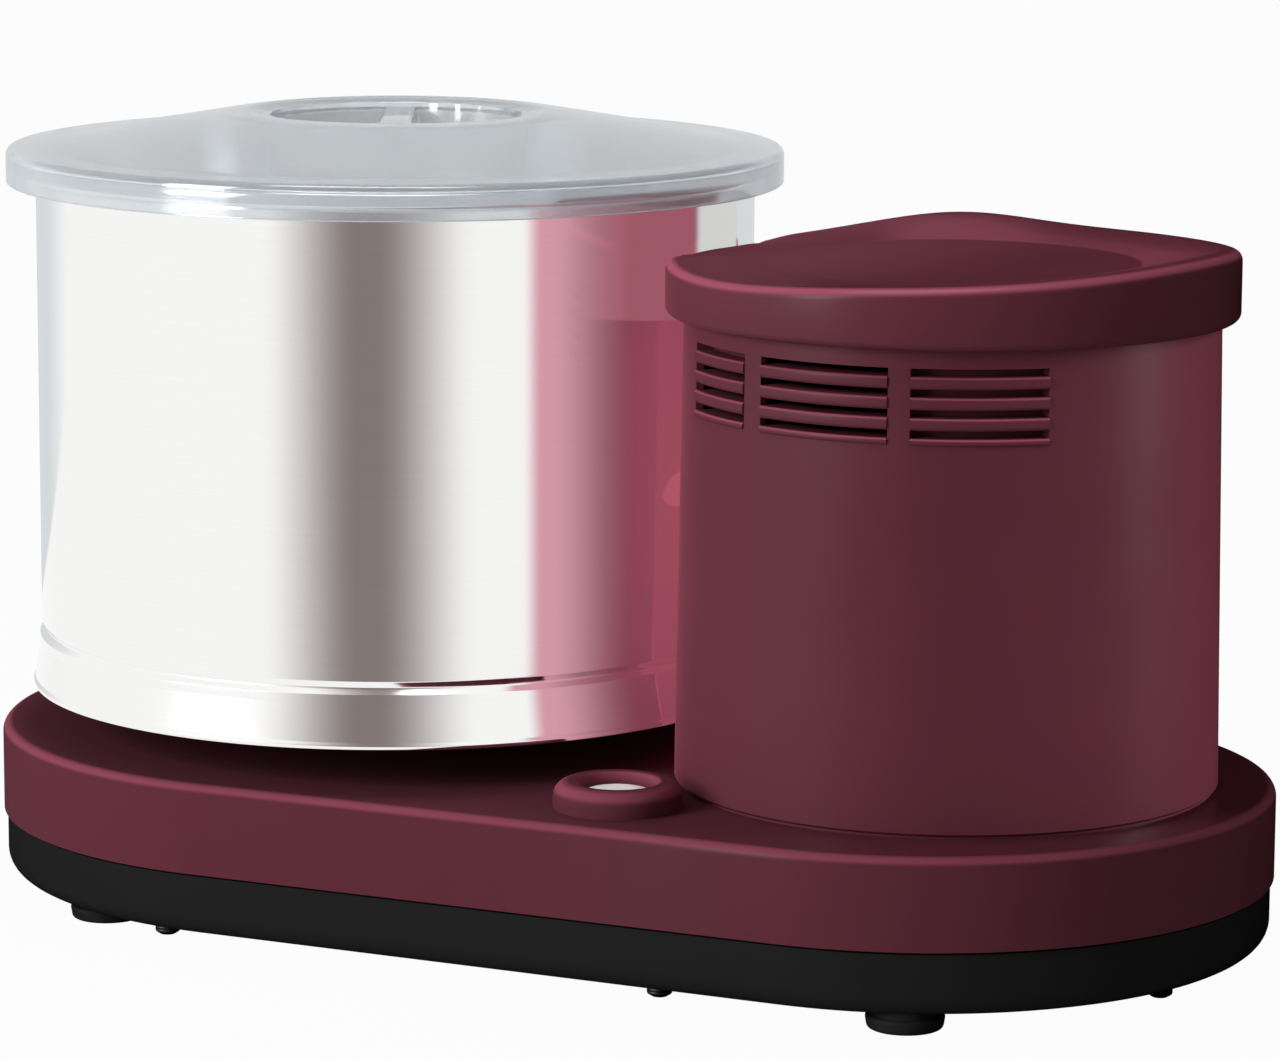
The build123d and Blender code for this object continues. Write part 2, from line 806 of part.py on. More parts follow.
# Carrier knob: round grip on a neck, closed above the end of the shaft
with BuildPart() as carrier_knob:
    with BuildSketch(section(drum_x)):
        outline(
            (shaft_bore, carrier_top_z),
            (knob_neck_radius, carrier_top_z),
            (knob_neck_radius, carrier_top_z + knob_neck_height),
            (knob_radius, carrier_top_z + knob_neck_height),
            (knob_radius - knob_taper, carrier_top_z + knob_height),
            (0, carrier_top_z + knob_height),
            (0, carrier_top_z + knob_height - knob_top_wall),
            (shaft_bore, carrier_top_z + knob_height - knob_top_wall),
        )
    revolve(axis=upright(drum_x))
save(carrier_knob, "carrier_knob")

# Drum scraper: ring on the carrier, an arm and a curved blade that follows the drum wall
scraper_ring_radius = carrier_radius + fit_gap + scraper_ring_wall
scraper_top_z = carrier_top_z - scraper_ring_drop
scraper_outer = drum_bore - scraper_gap
scraper_arm_end = scraper_outer - scraper_thickness / 2
with BuildPart() as drum_scraper:
    with BuildSketch(level(drum_x, scraper_top_z)):
        Circle(scraper_ring_radius)
        with Locations((0, (carrier_radius + scraper_arm_end) / 2)):
            Rectangle(scraper_arm_width, scraper_arm_end - carrier_radius)
        Circle(carrier_radius + fit_gap, mode=Mode.SUBTRACT)
    extrude(amount=-scraper_ring_height)
    with BuildSketch(section(drum_x, turn=scraper_turn - scraper_half_angle)):
        outline(
            (scraper_outer - scraper_thickness, stone_top_z + scraper_foot_gap),
            (scraper_outer, stone_top_z + scraper_foot_gap),
            (scraper_outer, scraper_top_z),
            (scraper_outer - scraper_thickness, scraper_top_z),
        )
    revolve(axis=upright(drum_x), revolution_arc=2 * scraper_half_angle)
save(drum_scraper, "drum_scraper")

# Motor mounts: rubber blocks on the deck
with BuildPart() as motor_mounts:
    with BuildSketch(Plane.XY.offset(deck_z)):
        with Locations(mount_points):
            Rectangle(mount_side, mount_side)
    extrude(amount=mount_height)
save(motor_mounts, "motor_mounts")

# Motor plate: sheet that joins the motor to its mounts
with BuildPart() as motor_plate:
    with BuildSketch(level(tower_x, motor_plate_z)):
        Rectangle(motor_plate_length, motor_plate_width)
        Circle(shaft_passage_radius, mode=Mode.SUBTRACT)
    extrude(amount=motor_plate_thickness)
save(motor_plate, "motor_plate")


def motor_block(low_z, high_z, bore):
    """Square motor section with rounded corners and a round bore."""
    with BuildPart() as made:
        with BuildSketch(level(tower_x, low_z)):
            RectangleRounded(stator_side, stator_side, stator_corner_radius)
            Circle(bore, mode=Mode.SUBTRACT)
        extrude(amount=high_z - low_z)
    return made


# End shields of the motor, whose bores are the bearings of its shaft, and the stator between them
lower_shield = motor_block(shield_z, stator_z, motor_shaft_radius + running_gap)
save(lower_shield, "lower_shield")
upper_shield = motor_block(stator_top_z, motor_top_z, motor_shaft_radius + running_gap)
save(upper_shield, "upper_shield")
stator_core = motor_block(stator_z, stator_top_z, stator_bore_radius)
save(stator_core, "stator_core")

# Motor shaft: from below the pulley to the top of the fan
with BuildPart() as motor_shaft:
    with BuildSketch(level(tower_x, motor_pulley_z - motor_shaft_margin)):
        Circle(motor_shaft_radius)
    extrude(amount=fan_z + fan_height + 2 * motor_shaft_margin - motor_pulley_z)
save(motor_shaft, "motor_shaft")

# Rotor core: laminated cylinder on the motor shaft
with BuildPart() as rotor_core:
    with BuildSketch(level(tower_x, stator_z + rotor_end_gap)):
        Circle(rotor_radius)
        Circle(motor_shaft_radius + running_gap, mode=Mode.SUBTRACT)
    extrude(amount=stator_height - 2 * rotor_end_gap)
save(rotor_core, "rotor_core")

# Motor pulley at the foot of the motor shaft
with BuildPart() as motor_pulley:
    with BuildSketch(level(tower_x, motor_pulley_z)):
        Circle(motor_pulley_radius)
        Circle(motor_shaft_radius + running_gap, mode=Mode.SUBTRACT)
    extrude(amount=belt_height + 2 * motor_pulley_margin)
save(motor_pulley, "motor_pulley")

# Cooling fan: disc with radial blades above the motor
fan_blade_centre = (fan_hub_radius + fan_radius) / 2 - fan_blade_margin
with BuildPart() as cooling_fan:
    with BuildSketch(level(tower_x, fan_z)):
        Circle(fan_radius)
    extrude(amount=fan_plate_height)
    with BuildSketch(level(tower_x, fan_z)):
        Circle(fan_hub_radius)
        with PolarLocations(fan_blade_centre, fan_blade_count):
            Rectangle(fan_radius - fan_hub_radius, fan_blade_thickness)
    extrude(amount=fan_height)
    with BuildSketch(level(tower_x, fan_z)):
        Circle(motor_shaft_radius + running_gap)
    extrude(amount=fan_height, mode=Mode.SUBTRACT)
save(cooling_fan, "cooling_fan")

# Run capacitor: can that stands on the deck behind the motor
with BuildPart() as run_capacitor:
    with BuildSketch(Plane.XY.offset(deck_z)):
        with Locations((tower_x, capacitor_y)):
            Circle(capacitor_radius)
    extrude(amount=capacitor_height)
save(run_capacitor, "run_capacitor")

# Thermal cut-out: small switch on the front face of the stator
with BuildPart() as thermal_cutout:
    with BuildSketch(Plane.XZ.offset(stator_side / 2)):
        with Locations((tower_x, (stator_z + stator_top_z) / 2)):
            Rectangle(cutout_length, cutout_width)
    extrude(amount=cutout_height)
save(thermal_cutout, "thermal_cutout")

# Terminal block on the tray, with a well for each screw
with BuildPart() as terminal_block:
    with BuildSketch(Plane.XY.offset(tray_floor_z)):
        with Locations((terminal_x, terminal_y)):
            Rectangle(terminal_length, terminal_width)
    extrude(amount=terminal_height)
    with BuildSketch(Plane.XY.offset(tray_floor_z + terminal_height)):
        with Locations((terminal_x, terminal_y)):
            with GridLocations(terminal_pitch, 0, terminal_count, 1):
                Rectangle(terminal_well_width, terminal_well_width)
    extrude(amount=-terminal_well_depth, mode=Mode.SUBTRACT)
save(terminal_block, "terminal_block")

# Power switch: block under the deck with the pocket in which the button slides
with BuildPart() as power_switch:
    with BuildSketch(Plane.XY.offset(deck_under_z - switch_height)):
        with Locations((button_x, button_y)):
            Rectangle(switch_side, switch_side)
    extrude(amount=switch_height)
    with BuildSketch(Plane.XY.offset(deck_under_z)):
        with Locations((button_x, button_y)):
            Circle(button_radius + slide_gap)
    extrude(amount=button_foot_z - button_travel - slide_gap - deck_under_z, mode=Mode.SUBTRACT)
save(power_switch, "power_switch")

# Power button: round domed key that is pressed down
with BuildPart() as power_button:
    with BuildSketch(section(button_x, button_y)):
        outline(
            (0, button_foot_z),
            (button_radius, button_foot_z),
            (button_radius, button_top_z - button_dome),
            (button_radius * dome_flat_share, button_top_z),
            (0, button_top_z),
        )
    revolve(axis=upright(button_x, button_y))
save(power_button, "power_button")

# Cord gland: flanged bush through the back wall; the cord itself isn't included
with BuildPart() as cord_gland:
    with BuildSketch(Plane(origin=gland_point, x_dir=gland_normal, z_dir=(0, 0, 1))):
        outline(
            (-gland_inner_reach, gland_bore_radius),
            (-gland_inner_reach, gland_radius),
            (0, gland_radius),
            (0, gland_flange_radius),
            (gland_flange_width, gland_flange_radius),
            (gland_flange_width, gland_radius),
            (gland_reach, gland_tip_radius),
            (gland_reach, gland_bore_radius),
        )
    revolve(axis=Axis(gland_point, gland_normal))
save(cord_gland, "cord_gland")

# Motor tower: tapered shell with a hollow that clears the drum and posts for the screws inside
with BuildPart() as tower_hollow:
    with BuildSketch(level(tower_x, deck_z)):
        Circle(tower_bore_radius)
        with Locations((-axis_spacing, 0)):
            Circle(nest_radius + casing_wall, mode=Mode.SUBTRACT)
    extrude(amount=tower_height)

tower_slope = (tower_foot_radius - tower_top_radius) / tower_height


def tower_radius(z):
    """Outer radius of the tower at height z."""
    return tower_foot_radius - tower_slope * (z - deck_z)


slot_tops = [tower_top_z - louvre_drop - slot_pitch * row for row in range(slot_count)]
with BuildPart() as motor_tower:
    with BuildSketch(section(tower_x)):
        outline(
            (0, deck_z),
            (tower_foot_radius, deck_z),
            (tower_top_radius, tower_top_z),
            (0, tower_top_z),
        )
    revolve(axis=upright(tower_x))
    with BuildSketch(level(drum_x, deck_z)):
        Circle(nest_radius)
    extrude(amount=tower_height, mode=Mode.SUBTRACT)
    add(tower_hollow.part, mode=Mode.SUBTRACT)
    for start, width in zip(louvre_starts, louvre_widths):
        for top in slot_tops[1:]:
            rim = tower_radius(top)
            with BuildSketch(section(tower_x, turn=start)):
                outline(
                    (rim - casing_wall / 2, top),
                    (rim + slat_proud * slat_nose_share, top),
                    (rim + slat_proud, top + slat_nose_step),
                    (rim + slat_proud, top + slat_height - slat_nose_step),
                    (rim + slat_proud * slat_nose_share, top + slat_height),
                    (rim - casing_wall / 2, top + slat_height),
                )
            revolve(axis=upright(tower_x), revolution_arc=width)
        for top in slot_tops:
            with BuildSketch(section(tower_x, turn=start)):
                outline(
                    (tower_top_radius - 2 * casing_wall, top),
                    (tower_foot_radius + overrun, top),
                    (tower_foot_radius + overrun, top - slot_height),
                    (tower_top_radius - 2 * casing_wall, top - slot_height),
                )
            revolve(axis=upright(tower_x), revolution_arc=width, mode=Mode.SUBTRACT)
save(motor_tower, "motor_tower")

# Tower cap: overhanging lid of the tower with a round dish in its top, whose wall swells at the back
cap_spigot_radius = tower_bore_radius - fit_gap
swell_sphere = (swell_radius**2 + swell_height**2) / (2 * swell_height)
swell_x = tower_x + swell_offset * cos(radians(swell_turn))
swell_y = swell_offset * sin(radians(swell_turn))
swell_ball = Sphere(swell_sphere, mode=Mode.PRIVATE).moved(
    Location((swell_x, swell_y, cap_top_z + swell_height - swell_sphere))
)
with BuildPart() as tower_cap:
    add(swell_ball)
    with BuildSketch(section(tower_x)):
        outline(
            (0, tower_top_z + cap_height / 2),
            (cap_radius, tower_top_z + cap_height / 2),
            (cap_radius, cap_top_z + swell_height),
            (0, cap_top_z + swell_height),
        )
    revolve(axis=upright(tower_x), mode=Mode.INTERSECT)
    with BuildSketch(section(tower_x)):
        outline(
            (0, tower_top_z),
            (cap_radius - cap_lower_chamfer, tower_top_z),
            (cap_radius, tower_top_z + cap_lower_chamfer),
            (cap_radius, cap_top_z - cap_edge_chamfer),
            (cap_radius - cap_edge_chamfer, cap_top_z),
            (0, cap_top_z),
        )
    revolve(axis=upright(tower_x))
    with BuildSketch(level(tower_x, tower_top_z - cap_spigot_height)):
        Circle(cap_spigot_radius)
    extrude(amount=cap_spigot_height)
    with BuildSketch(section(tower_x)):
        outline(
            (0, tower_top_z - cap_spigot_height),
            (cap_spigot_radius - casing_wall, tower_top_z - cap_spigot_height),
            (cap_spigot_radius - casing_wall, cap_top_z - cap_roof_drop),
            (dish_radius + casing_wall, cap_top_z - cap_roof_drop),
            (dish_radius, cap_top_z - dish_depth - casing_wall),
            (0, cap_top_z - dish_depth - casing_wall),
        )
    revolve(axis=upright(tower_x), mode=Mode.SUBTRACT)
    with BuildSketch(section(tower_x)):
        outline(
            (0, cap_top_z - dish_depth),
            (dish_radius, cap_top_z - dish_depth),
            (dish_radius + dish_wall_run, cap_top_z - dish_depth + dish_wall_rise),
            (dish_radius + dish_wall_run, cap_top_z + swell_height + overrun),
            (0, cap_top_z + swell_height + overrun),
        )
    revolve(axis=upright(tower_x), mode=Mode.SUBTRACT)
    with BuildSketch(level(drum_x, tower_top_z - cap_spigot_height)):
        Circle(nest_radius + casing_wall + fit_gap)
    extrude(amount=cap_spigot_height, mode=Mode.SUBTRACT)
    with BuildSketch(level(drum_x, tower_top_z)):
        Circle(nest_radius)
    extrude(amount=cap_height, mode=Mode.SUBTRACT)
save(tower_cap, "tower_cap")
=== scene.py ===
import json
from math import asin, atan2, cos, exp, pi, radians, sin, tan

import bmesh
import bpy
from mathutils import Matrix, Vector


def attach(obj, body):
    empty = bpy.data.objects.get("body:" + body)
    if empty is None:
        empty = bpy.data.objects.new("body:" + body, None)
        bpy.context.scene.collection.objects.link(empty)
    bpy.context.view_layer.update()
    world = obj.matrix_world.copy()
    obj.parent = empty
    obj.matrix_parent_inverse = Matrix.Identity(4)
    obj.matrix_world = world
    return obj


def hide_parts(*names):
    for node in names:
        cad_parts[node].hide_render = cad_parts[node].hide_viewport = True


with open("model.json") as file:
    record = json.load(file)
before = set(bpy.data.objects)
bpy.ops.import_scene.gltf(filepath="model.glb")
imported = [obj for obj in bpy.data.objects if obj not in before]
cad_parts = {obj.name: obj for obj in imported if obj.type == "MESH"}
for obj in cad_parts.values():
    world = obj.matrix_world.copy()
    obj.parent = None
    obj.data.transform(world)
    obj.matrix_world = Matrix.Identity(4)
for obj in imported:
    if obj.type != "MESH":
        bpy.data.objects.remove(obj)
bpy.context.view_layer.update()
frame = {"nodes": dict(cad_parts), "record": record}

# Lengths below are millimetres in the frame of the solids; MM turns them into metres.
MM = 0.001

# Places and levels of the casing
DRUM_X = -87.2
TOWER_X = 117.0
LEFT_X = -97.1
LEFT_RADIUS = 125.5
RIGHT_X = 106.2
RIGHT_RADIUS = 116.4
FOOT_HEIGHT = 6.6
TRAY_TOP = 26.7
SEAM = 27.6
DECK = 57.1
TOWER_TOP = 208.5
CAP_TOP = 226.9
NEST_RADIUS = 126.0
WALL = 2.6

# Levels and radii of the drum and lid
SKIRT_BOTTOM = 71.4
SKIRT_RADIUS = 123.1
DRUM_UNDERSIDE = 86.0
DRUM_FLOOR = 87.2
BEAD = 90.8
DRUM_RIM = 249.5
DRUM_RADIUS = 120.0
DRUM_BORE = 118.8
DRUM_EYE = 23.0
RIM_RADIUS = 125.6
LID_FOOT = 240.6
LID_SEAT = 249.8
LID_TOP = 264.1
LID_RADIUS = 129.8
LID_BORE = 127.6
WELL_FLOOR = 244.8
WELL_RADIUS = 40.0
WELL_WALL = 2.2

# Button with its ring, and the drum's spill collar
BUTTON_X = 43.0
BUTTON_Y = -86.8
BUTTON_RADIUS = 10.8
BUTTON_FOOT = 51.1
BUTTON_TOP = 63.1
RING_BORE = 11.2
RING_RADIUS = 20.4
RING_HEIGHT = 8.4
COLLAR_BORE = 22.0
COLLAR_RADIUS = 25.0
COLLAR_HEIGHT = 6
LEAD_BORE = 20.0

# Feet and the tray's screws
FOOT_X = 145.5
FOOT_Y = 91.5
FOOT_RADIUS = 12.5
FOOT_WAIST = 10.6
SCREW_INSET = 11.0
SCREW_SIDE_X = 68.8
SCREW_RADIUS = 4.0
LEFT_SCREW_ANGLE = 95.3
RIGHT_SCREW_ANGLE = 18.6


# ---------------------------------------------------------------- camera, floor and light

def aim_camera():
    """Long lens from the front right, a little above the lid."""
    yaw, pitch, roll = radians(27.47), radians(-9.87), radians(0.28)
    ahead = Vector((-sin(yaw) * cos(pitch), cos(yaw) * cos(pitch), sin(pitch)))
    level = Vector((cos(yaw), sin(yaw), 0))
    above = level.cross(ahead)
    right = cos(roll) * level + sin(roll) * above
    up = cos(roll) * above - sin(roll) * level
    data = bpy.data.cameras.new("camera")
    data.lens = 146.25
    data.sensor_width = 36
    data.sensor_fit = "HORIZONTAL"
    data.clip_end = 100
    camera = bpy.data.objects.new("camera", data)
    place = Matrix((right, up, -ahead)).transposed().to_4x4()
    place.translation = (0.78636, -1.50209, 0.42371)
    camera.matrix_world = place
    bpy.context.scene.collection.objects.link(camera)
    bpy.context.scene.camera = camera


class Wire:
    """An output of a node, with the arithmetic that shader maths needs."""

    def __init__(self, finish, socket):
        self.finish = finish
        self.socket = socket

    def maths(self, operation, first, second):
        return self.finish.node("ShaderNodeMath", {0: first, 1: second}, operation=operation)

    def __add__(self, other):
        return self.maths("ADD", self, other)

    def __radd__(self, other):
        return self.maths("ADD", other, self)

    def __sub__(self, other):
        return self.maths("SUBTRACT", self, other)

    def __rsub__(self, other):
        return self.maths("SUBTRACT", other, self)

    def __mul__(self, other):
        return self.maths("MULTIPLY", self, other)

    def __rmul__(self, other):
        return self.maths("MULTIPLY", other, self)

    def __pow__(self, other):
        return self.maths("POWER", self, other)

    def at_least(self, other):
        return self.maths("MAXIMUM", self, other)


class Finish:
    """A material or world in the making: its node tree and its surface shader."""

    def __init__(self, name, **constants):
        self.material = bpy.data.materials.new(name)
        self.material.use_nodes = True
        self.tree = self.material.node_tree
        self.shader = self.tree.nodes["Principled BSDF"]
        for socket, value in constants.items():
            self.shader.inputs[socket.replace("_", " ")].default_value = value
        self.place = self.node("ShaderNodeTexCoord", output="Object")

    def node(self, kind, sockets=None, output=0, **settings):
        """Add one node; settings go first, then the values or links of its sockets."""
        node = self.tree.nodes.new(kind)
        for key, value in settings.items():
            setattr(node, key, value)
        for key, value in (sockets or {}).items():
            if isinstance(value, Wire):
                self.tree.links.new(value.socket, node.inputs[key])
            else:
                node.inputs[key].default_value = value
        return Wire(self, node.outputs[output])

    def noise(self, scale, detail=3.0, roughness=0.55, stretch=(1, 1, 1)):
        """Noise between 0 and 1; scale counts grains per metre."""
        where = self.node("ShaderNodeMapping", {"Vector": self.place, "Scale": stretch})
        return self.node(
            "ShaderNodeTexNoise",
            {"Vector": where, "Scale": scale, "Detail": detail, "Roughness": roughness},
        )

    def blend(self, share, first, second):
        """Colour mixed from first to second by share."""
        return self.node(
            "ShaderNodeMix", {0: share, 6: first, 7: second}, output=2, data_type="RGBA"
        )

    def spread(self, value, low, high, new_low, new_high):
        """Map a range of values smoothly onto another."""
        return self.node(
            "ShaderNodeMapRange",
            {0: value, 1: low, 2: high, 3: new_low, 4: new_high},
            interpolation_type="SMOOTHSTEP",
        )

    def set(self, socket, value):
        """Give a socket of the shader its wire."""
        self.tree.links.new(value.socket, self.shader.inputs[socket])

    def bump(self, height, distance, strength):
        """Raise the surface by a height pattern; distance is in metres."""
        normal = self.node(
            "ShaderNodeBump", {"Height": height, "Distance": distance, "Strength": strength}
        )
        self.set("Normal", normal)


def tint(colour, factor):
    """Colour with its brightness changed."""
    return tuple(part * factor for part in colour) + (1.0,)


def light(name, place, target, width, height, power):
    """Rectangular soft light aimed at a target."""
    data = bpy.data.lights.new(name, "AREA")
    data.shape = "RECTANGLE"
    data.size = width
    data.size_y = height
    data.energy = power
    lamp = bpy.data.objects.new(name, data)
    lamp.location = place
    lamp.rotation_euler = (Vector(target) - Vector(place)).to_track_quat("-Z", "Y").to_euler()
    bpy.context.scene.collection.objects.link(lamp)
    return lamp


def seen_rays(finish):
    """1 for rays that show the background, straight or in metal and glass."""
    path = finish.node("ShaderNodeLightPath")
    outputs = path.socket.node.outputs
    camera = Wire(finish, outputs["Is Camera Ray"])
    glossy = Wire(finish, outputs["Is Glossy Ray"])
    clear = Wire(finish, outputs["Is Transmission Ray"])
    return camera.at_least(glossy).at_least(clear)


# Share of white that the surround sheds as light, and that the floor shows of itself
WORLD_LIGHT = 0.22
FLOOR_GLOW = 0.965
FLOOR_REACH = 30
DOME_RADIUS = 4.0


def light_world():
    """Even studio surround: white where it is seen, softer where it only lights."""
    world = bpy.data.worlds.new("studio")
    bpy.context.scene.world = world
    world.use_nodes = True
    surround = Finish.__new__(Finish)
    surround.tree = world.node_tree
    background = world.node_tree.nodes["Background"]
    background.inputs["Color"].default_value = (1, 1, 1, 1)
    strength = seen_rays(surround) * (1.0 - WORLD_LIGHT) + WORLD_LIGHT
    world.node_tree.links.new(strength.socket, background.inputs["Strength"])


def link_mesh(name, bm):
    """Put a mesh into the scene as an object."""
    mesh = bpy.data.meshes.new(name)
    bm.to_mesh(mesh)
    bm.free()
    piece = bpy.data.objects.new(name, mesh)
    bpy.context.scene.collection.objects.link(piece)
    return piece


def lay_floor():
    """Wide white floor that keeps a soft shadow."""
    bm = bmesh.new()
    bmesh.ops.create_grid(bm, x_segments=4, y_segments=4, size=FLOOR_REACH)
    floor = link_mesh("floor", bm)
    paper = Finish("floor_paper", Roughness=0.9, Specular_IOR_Level=0.0)
    grain = paper.noise(60, 2)
    paper.set("Base Color", paper.blend(grain, (0.88, 0.88, 0.88, 1), (0.9, 0.9, 0.9, 1)))
    glow = paper.node("ShaderNodeEmission", {"Color": (1, 1, 1, 1), "Strength": 1.0})
    shared = paper.node(
        "ShaderNodeMixShader",
        {0: seen_rays(paper) * FLOOR_GLOW, 1: Wire(paper, paper.shader.outputs[0]), 2: glow},
    )
    out = paper.tree.nodes["Material Output"]
    paper.tree.links.new(shared.socket, out.inputs["Surface"])
    floor.data.materials.append(paper.material)
    return floor


def glossy_only(piece):
    """Keep a piece of the studio out of sight of all but reflections."""
    piece.visible_camera = False
    piece.visible_diffuse = False
    piece.visible_shadow = False
    piece.visible_transmission = False
    return piece


def hang_dome():
    """White dome that only reflections see."""
    bm = bmesh.new()
    bmesh.ops.create_uvsphere(bm, u_segments=48, v_segments=24, radius=DOME_RADIUS)
    dome = link_mesh("dome", bm)
    shade = Finish("dome_shade")
    cloud = shade.blend(shade.noise(0.5), (1, 1, 1, 1), (0.98, 0.98, 0.98, 1))
    glow = shade.node("ShaderNodeEmission", {"Color": cloud, "Strength": 1.0})
    shade.tree.links.new(glow.socket, shade.tree.nodes["Material Output"].inputs["Surface"])
    dome.data.materials.append(shade.material)
    return glossy_only(dome)


def stand_card(name, middle, azimuth, distance, width, height, colour, soft_shares):
    """Upright card that only reflections see; it fades out towards its two sides.

    The middle is in millimetres, the distance from it and the card's size are in metres.
    """
    bm = bmesh.new()
    bmesh.ops.create_grid(bm, x_segments=12, y_segments=12, size=0.5)
    card = link_mesh(name, bm)
    facing = radians(azimuth)
    place = Vector(middle) * MM + distance * Vector((cos(facing), sin(facing), 0))
    card.matrix_world = (
        Matrix.Translation(place + Vector((0, 0, height / 2 + 0.001)))
        @ Matrix.Rotation(facing + pi / 2, 4, "Z")
        @ Matrix.Rotation(pi / 2, 4, "X")
        @ Matrix.Diagonal((width, height, 1, 1))
    )
    shade = Finish(name + "_shade")
    across = shade.node("ShaderNodeSeparateXYZ", {0: shade.place})
    first, last = soft_shares
    rising = shade.spread(across, -0.5, first - 0.5, 0.0, 1.0)
    falling = shade.spread(across, 0.5 - last, 0.5, 1.0, 0.0)
    glow = shade.node("ShaderNodeEmission", {"Color": colour, "Strength": 1.0})
    clear = shade.node("ShaderNodeBsdfTransparent")
    both = shade.node("ShaderNodeMixShader", {0: rising * falling, 1: clear, 2: glow})
    shade.tree.links.new(both.socket, shade.tree.nodes["Material Output"].inputs["Surface"])
    card.data.materials.append(shade.material)
    return glossy_only(card)


aim_camera()
light_world()
floor = lay_floor()
dome = hang_dome()
# Grey stripe in the front of the drum, and softer white behind the object
stand_card(
    "front_card", (DRUM_X, 0, 0), -67.5, 0.33, 0.37, 1.0, (0.24, 0.195, 0.19, 1), (0.47, 0.47)
)
back_card = stand_card(
    "back_card", (0, 0, 0), 117.5, 0.55, 1.9, 1.0, (0.7, 0.72, 0.74, 1), (0.25, 0.25)
)
# Painted reflection: a pale pink glow, which only the drum sees, stands in for the tower's
# reflection in the drum beside the tower
pink_reflection_card = stand_card(
    "pink_reflection_card", (0, -63.2, 0), 0, 0.033, 0.0505, 0.25, (0.7, 0.34, 0.41, 1), (0.2, 0.74)
)
# The same painted pink reflection beside the cap, and a painted pale grey reflection right of it,
# both seen only by the drum
cap_card = stand_card(
    "cap_card", (0, -37.8, 201.5), 0, 0.0331, 0.0565, 0.038, (0.37, 0.105, 0.145, 1), (0.4, 0.08)
)
rim_card = stand_card(
    "rim_card", (0, 11, 211.5), 0, 0.034, 0.05, 0.028, (0.68, 0.68, 0.68, 1), (0.14, 0.02)
)
light("key_light", (-1.1, -1.85, 0.8), (0, 0, 0.12), 0.8, 1.2, 32)
side_light = light("side_light", (1.88, 0.7, 0.8), (0.12, 0, 0.12), 0.5, 1.4, 34)
top_light = light("top_light", (0.0, -0.4, 2.0), (0, 0, 0.2), 1.2, 0.8, 19)
gap_light = light("gap_light", (-0.02, 0.02, 0.15), (0.1, 0.0, 0.14), 0.06, 0.2, 0.6)
gap_light.visible_glossy = False


# ---------------------------------------------------------------- finishes

def from_drum_axis(finish):
    """Distance from the drum's axis, and height, both in metres."""
    x, y, z = (finish.node("ShaderNodeSeparateXYZ", {0: finish.place}, output=k) for k in range(3))
    return ((x - DRUM_X * MM) ** 2 + y ** 2) ** 0.5, z


def moulded(name, colour, roughness, specular, painted_highlight_gain=0.0):
    """Injection moulded plastic: faint clouding, a fine grain and handling marks in the gloss.

    Painted highlight: rounded edges and slopes get a lighter colour than walls and flats, as if the
    light caught them more.
    """
    plastic = Finish(name, Specular_IOR_Level=specular)
    cloud = plastic.noise(9, 4)
    body = plastic.blend(cloud, tint(colour, 0.88), tint(colour, 1.12))
    if painted_highlight_gain:
        # Painted highlight: the colour is lightened on rounded edges and slopes by how far they
        # face upward
        facing = plastic.node("ShaderNodeNewGeometry", output="Normal")
        upward = plastic.node("ShaderNodeSeparateXYZ", {0: facing}, output=2)
        edges = plastic.spread(upward, 0.2, 0.6, 0.0, 0.6)
        slopes = edges * plastic.spread(upward, 0.85, 0.97, 1.0, 0.5)
        painted_highlight = slopes * plastic.spread(upward, 0.975, 0.9995, 1.0, 0.0)
        body = plastic.blend(painted_highlight, body, tint(colour, painted_highlight_gain))
    plastic.set("Base Color", body)
    wear = plastic.noise(30, 3, 0.5)
    dullness = plastic.spread(wear, 0.25, 0.75, roughness - 0.03, roughness + 0.04)
    if painted_highlight_gain:
        # Wiped dull where the drum is near
        away, _ = from_drum_axis(plastic)
        dull_reach, clean_reach = 150, 230
        dullness = dullness + plastic.spread(away, dull_reach * MM, clean_reach * MM, 0.6, 0.0)
    plastic.set("Roughness", dullness)
    plastic.bump(plastic.noise(3200, 1), 0.00001, 0.2)
    return plastic.material


def polished_steel():
    """Mirror-polished pressed steel with faint lines left by turning."""
    steel = Finish("polished_steel", Metallic=1.0)
    lines = steel.noise(24, 3, 0.6, stretch=(1, 1, 60))
    bright = steel.blend(lines, (0.9, 0.895, 0.89, 1), (0.94, 0.935, 0.93, 1))
    # Painted shade: the underside, inside the skirt's cone and below the drum's floor, is coloured
    # near black and made rougher, standing in for the dark deck it reflects
    radius, z = from_drum_axis(steel)
    cone_lean, cone_foot = 0.13, 131.4
    inside = steel.spread(
        radius + z * cone_lean, cone_foot * MM, (cone_foot + 0.2) * MM, 1.0, 0.0
    )
    ceiling = DRUM_UNDERSIDE + 0.1
    painted_dark_underside = inside * steel.spread(z, ceiling * MM, (ceiling + 0.3) * MM, 1.0, 0.0)
    steel.set("Base Color", steel.blend(painted_dark_underside, bright, (0.06, 0.06, 0.06, 1)))
    smear = steel.noise(14, 4, 0.6)
    gloss = steel.spread(smear, 0.3, 0.7, 0.06, 0.11) + lines * 0.02
    steel.set("Roughness", gloss + painted_dark_underside * 0.4)
    steel.bump(lines, 0.000001, 0.2)
    return steel.material


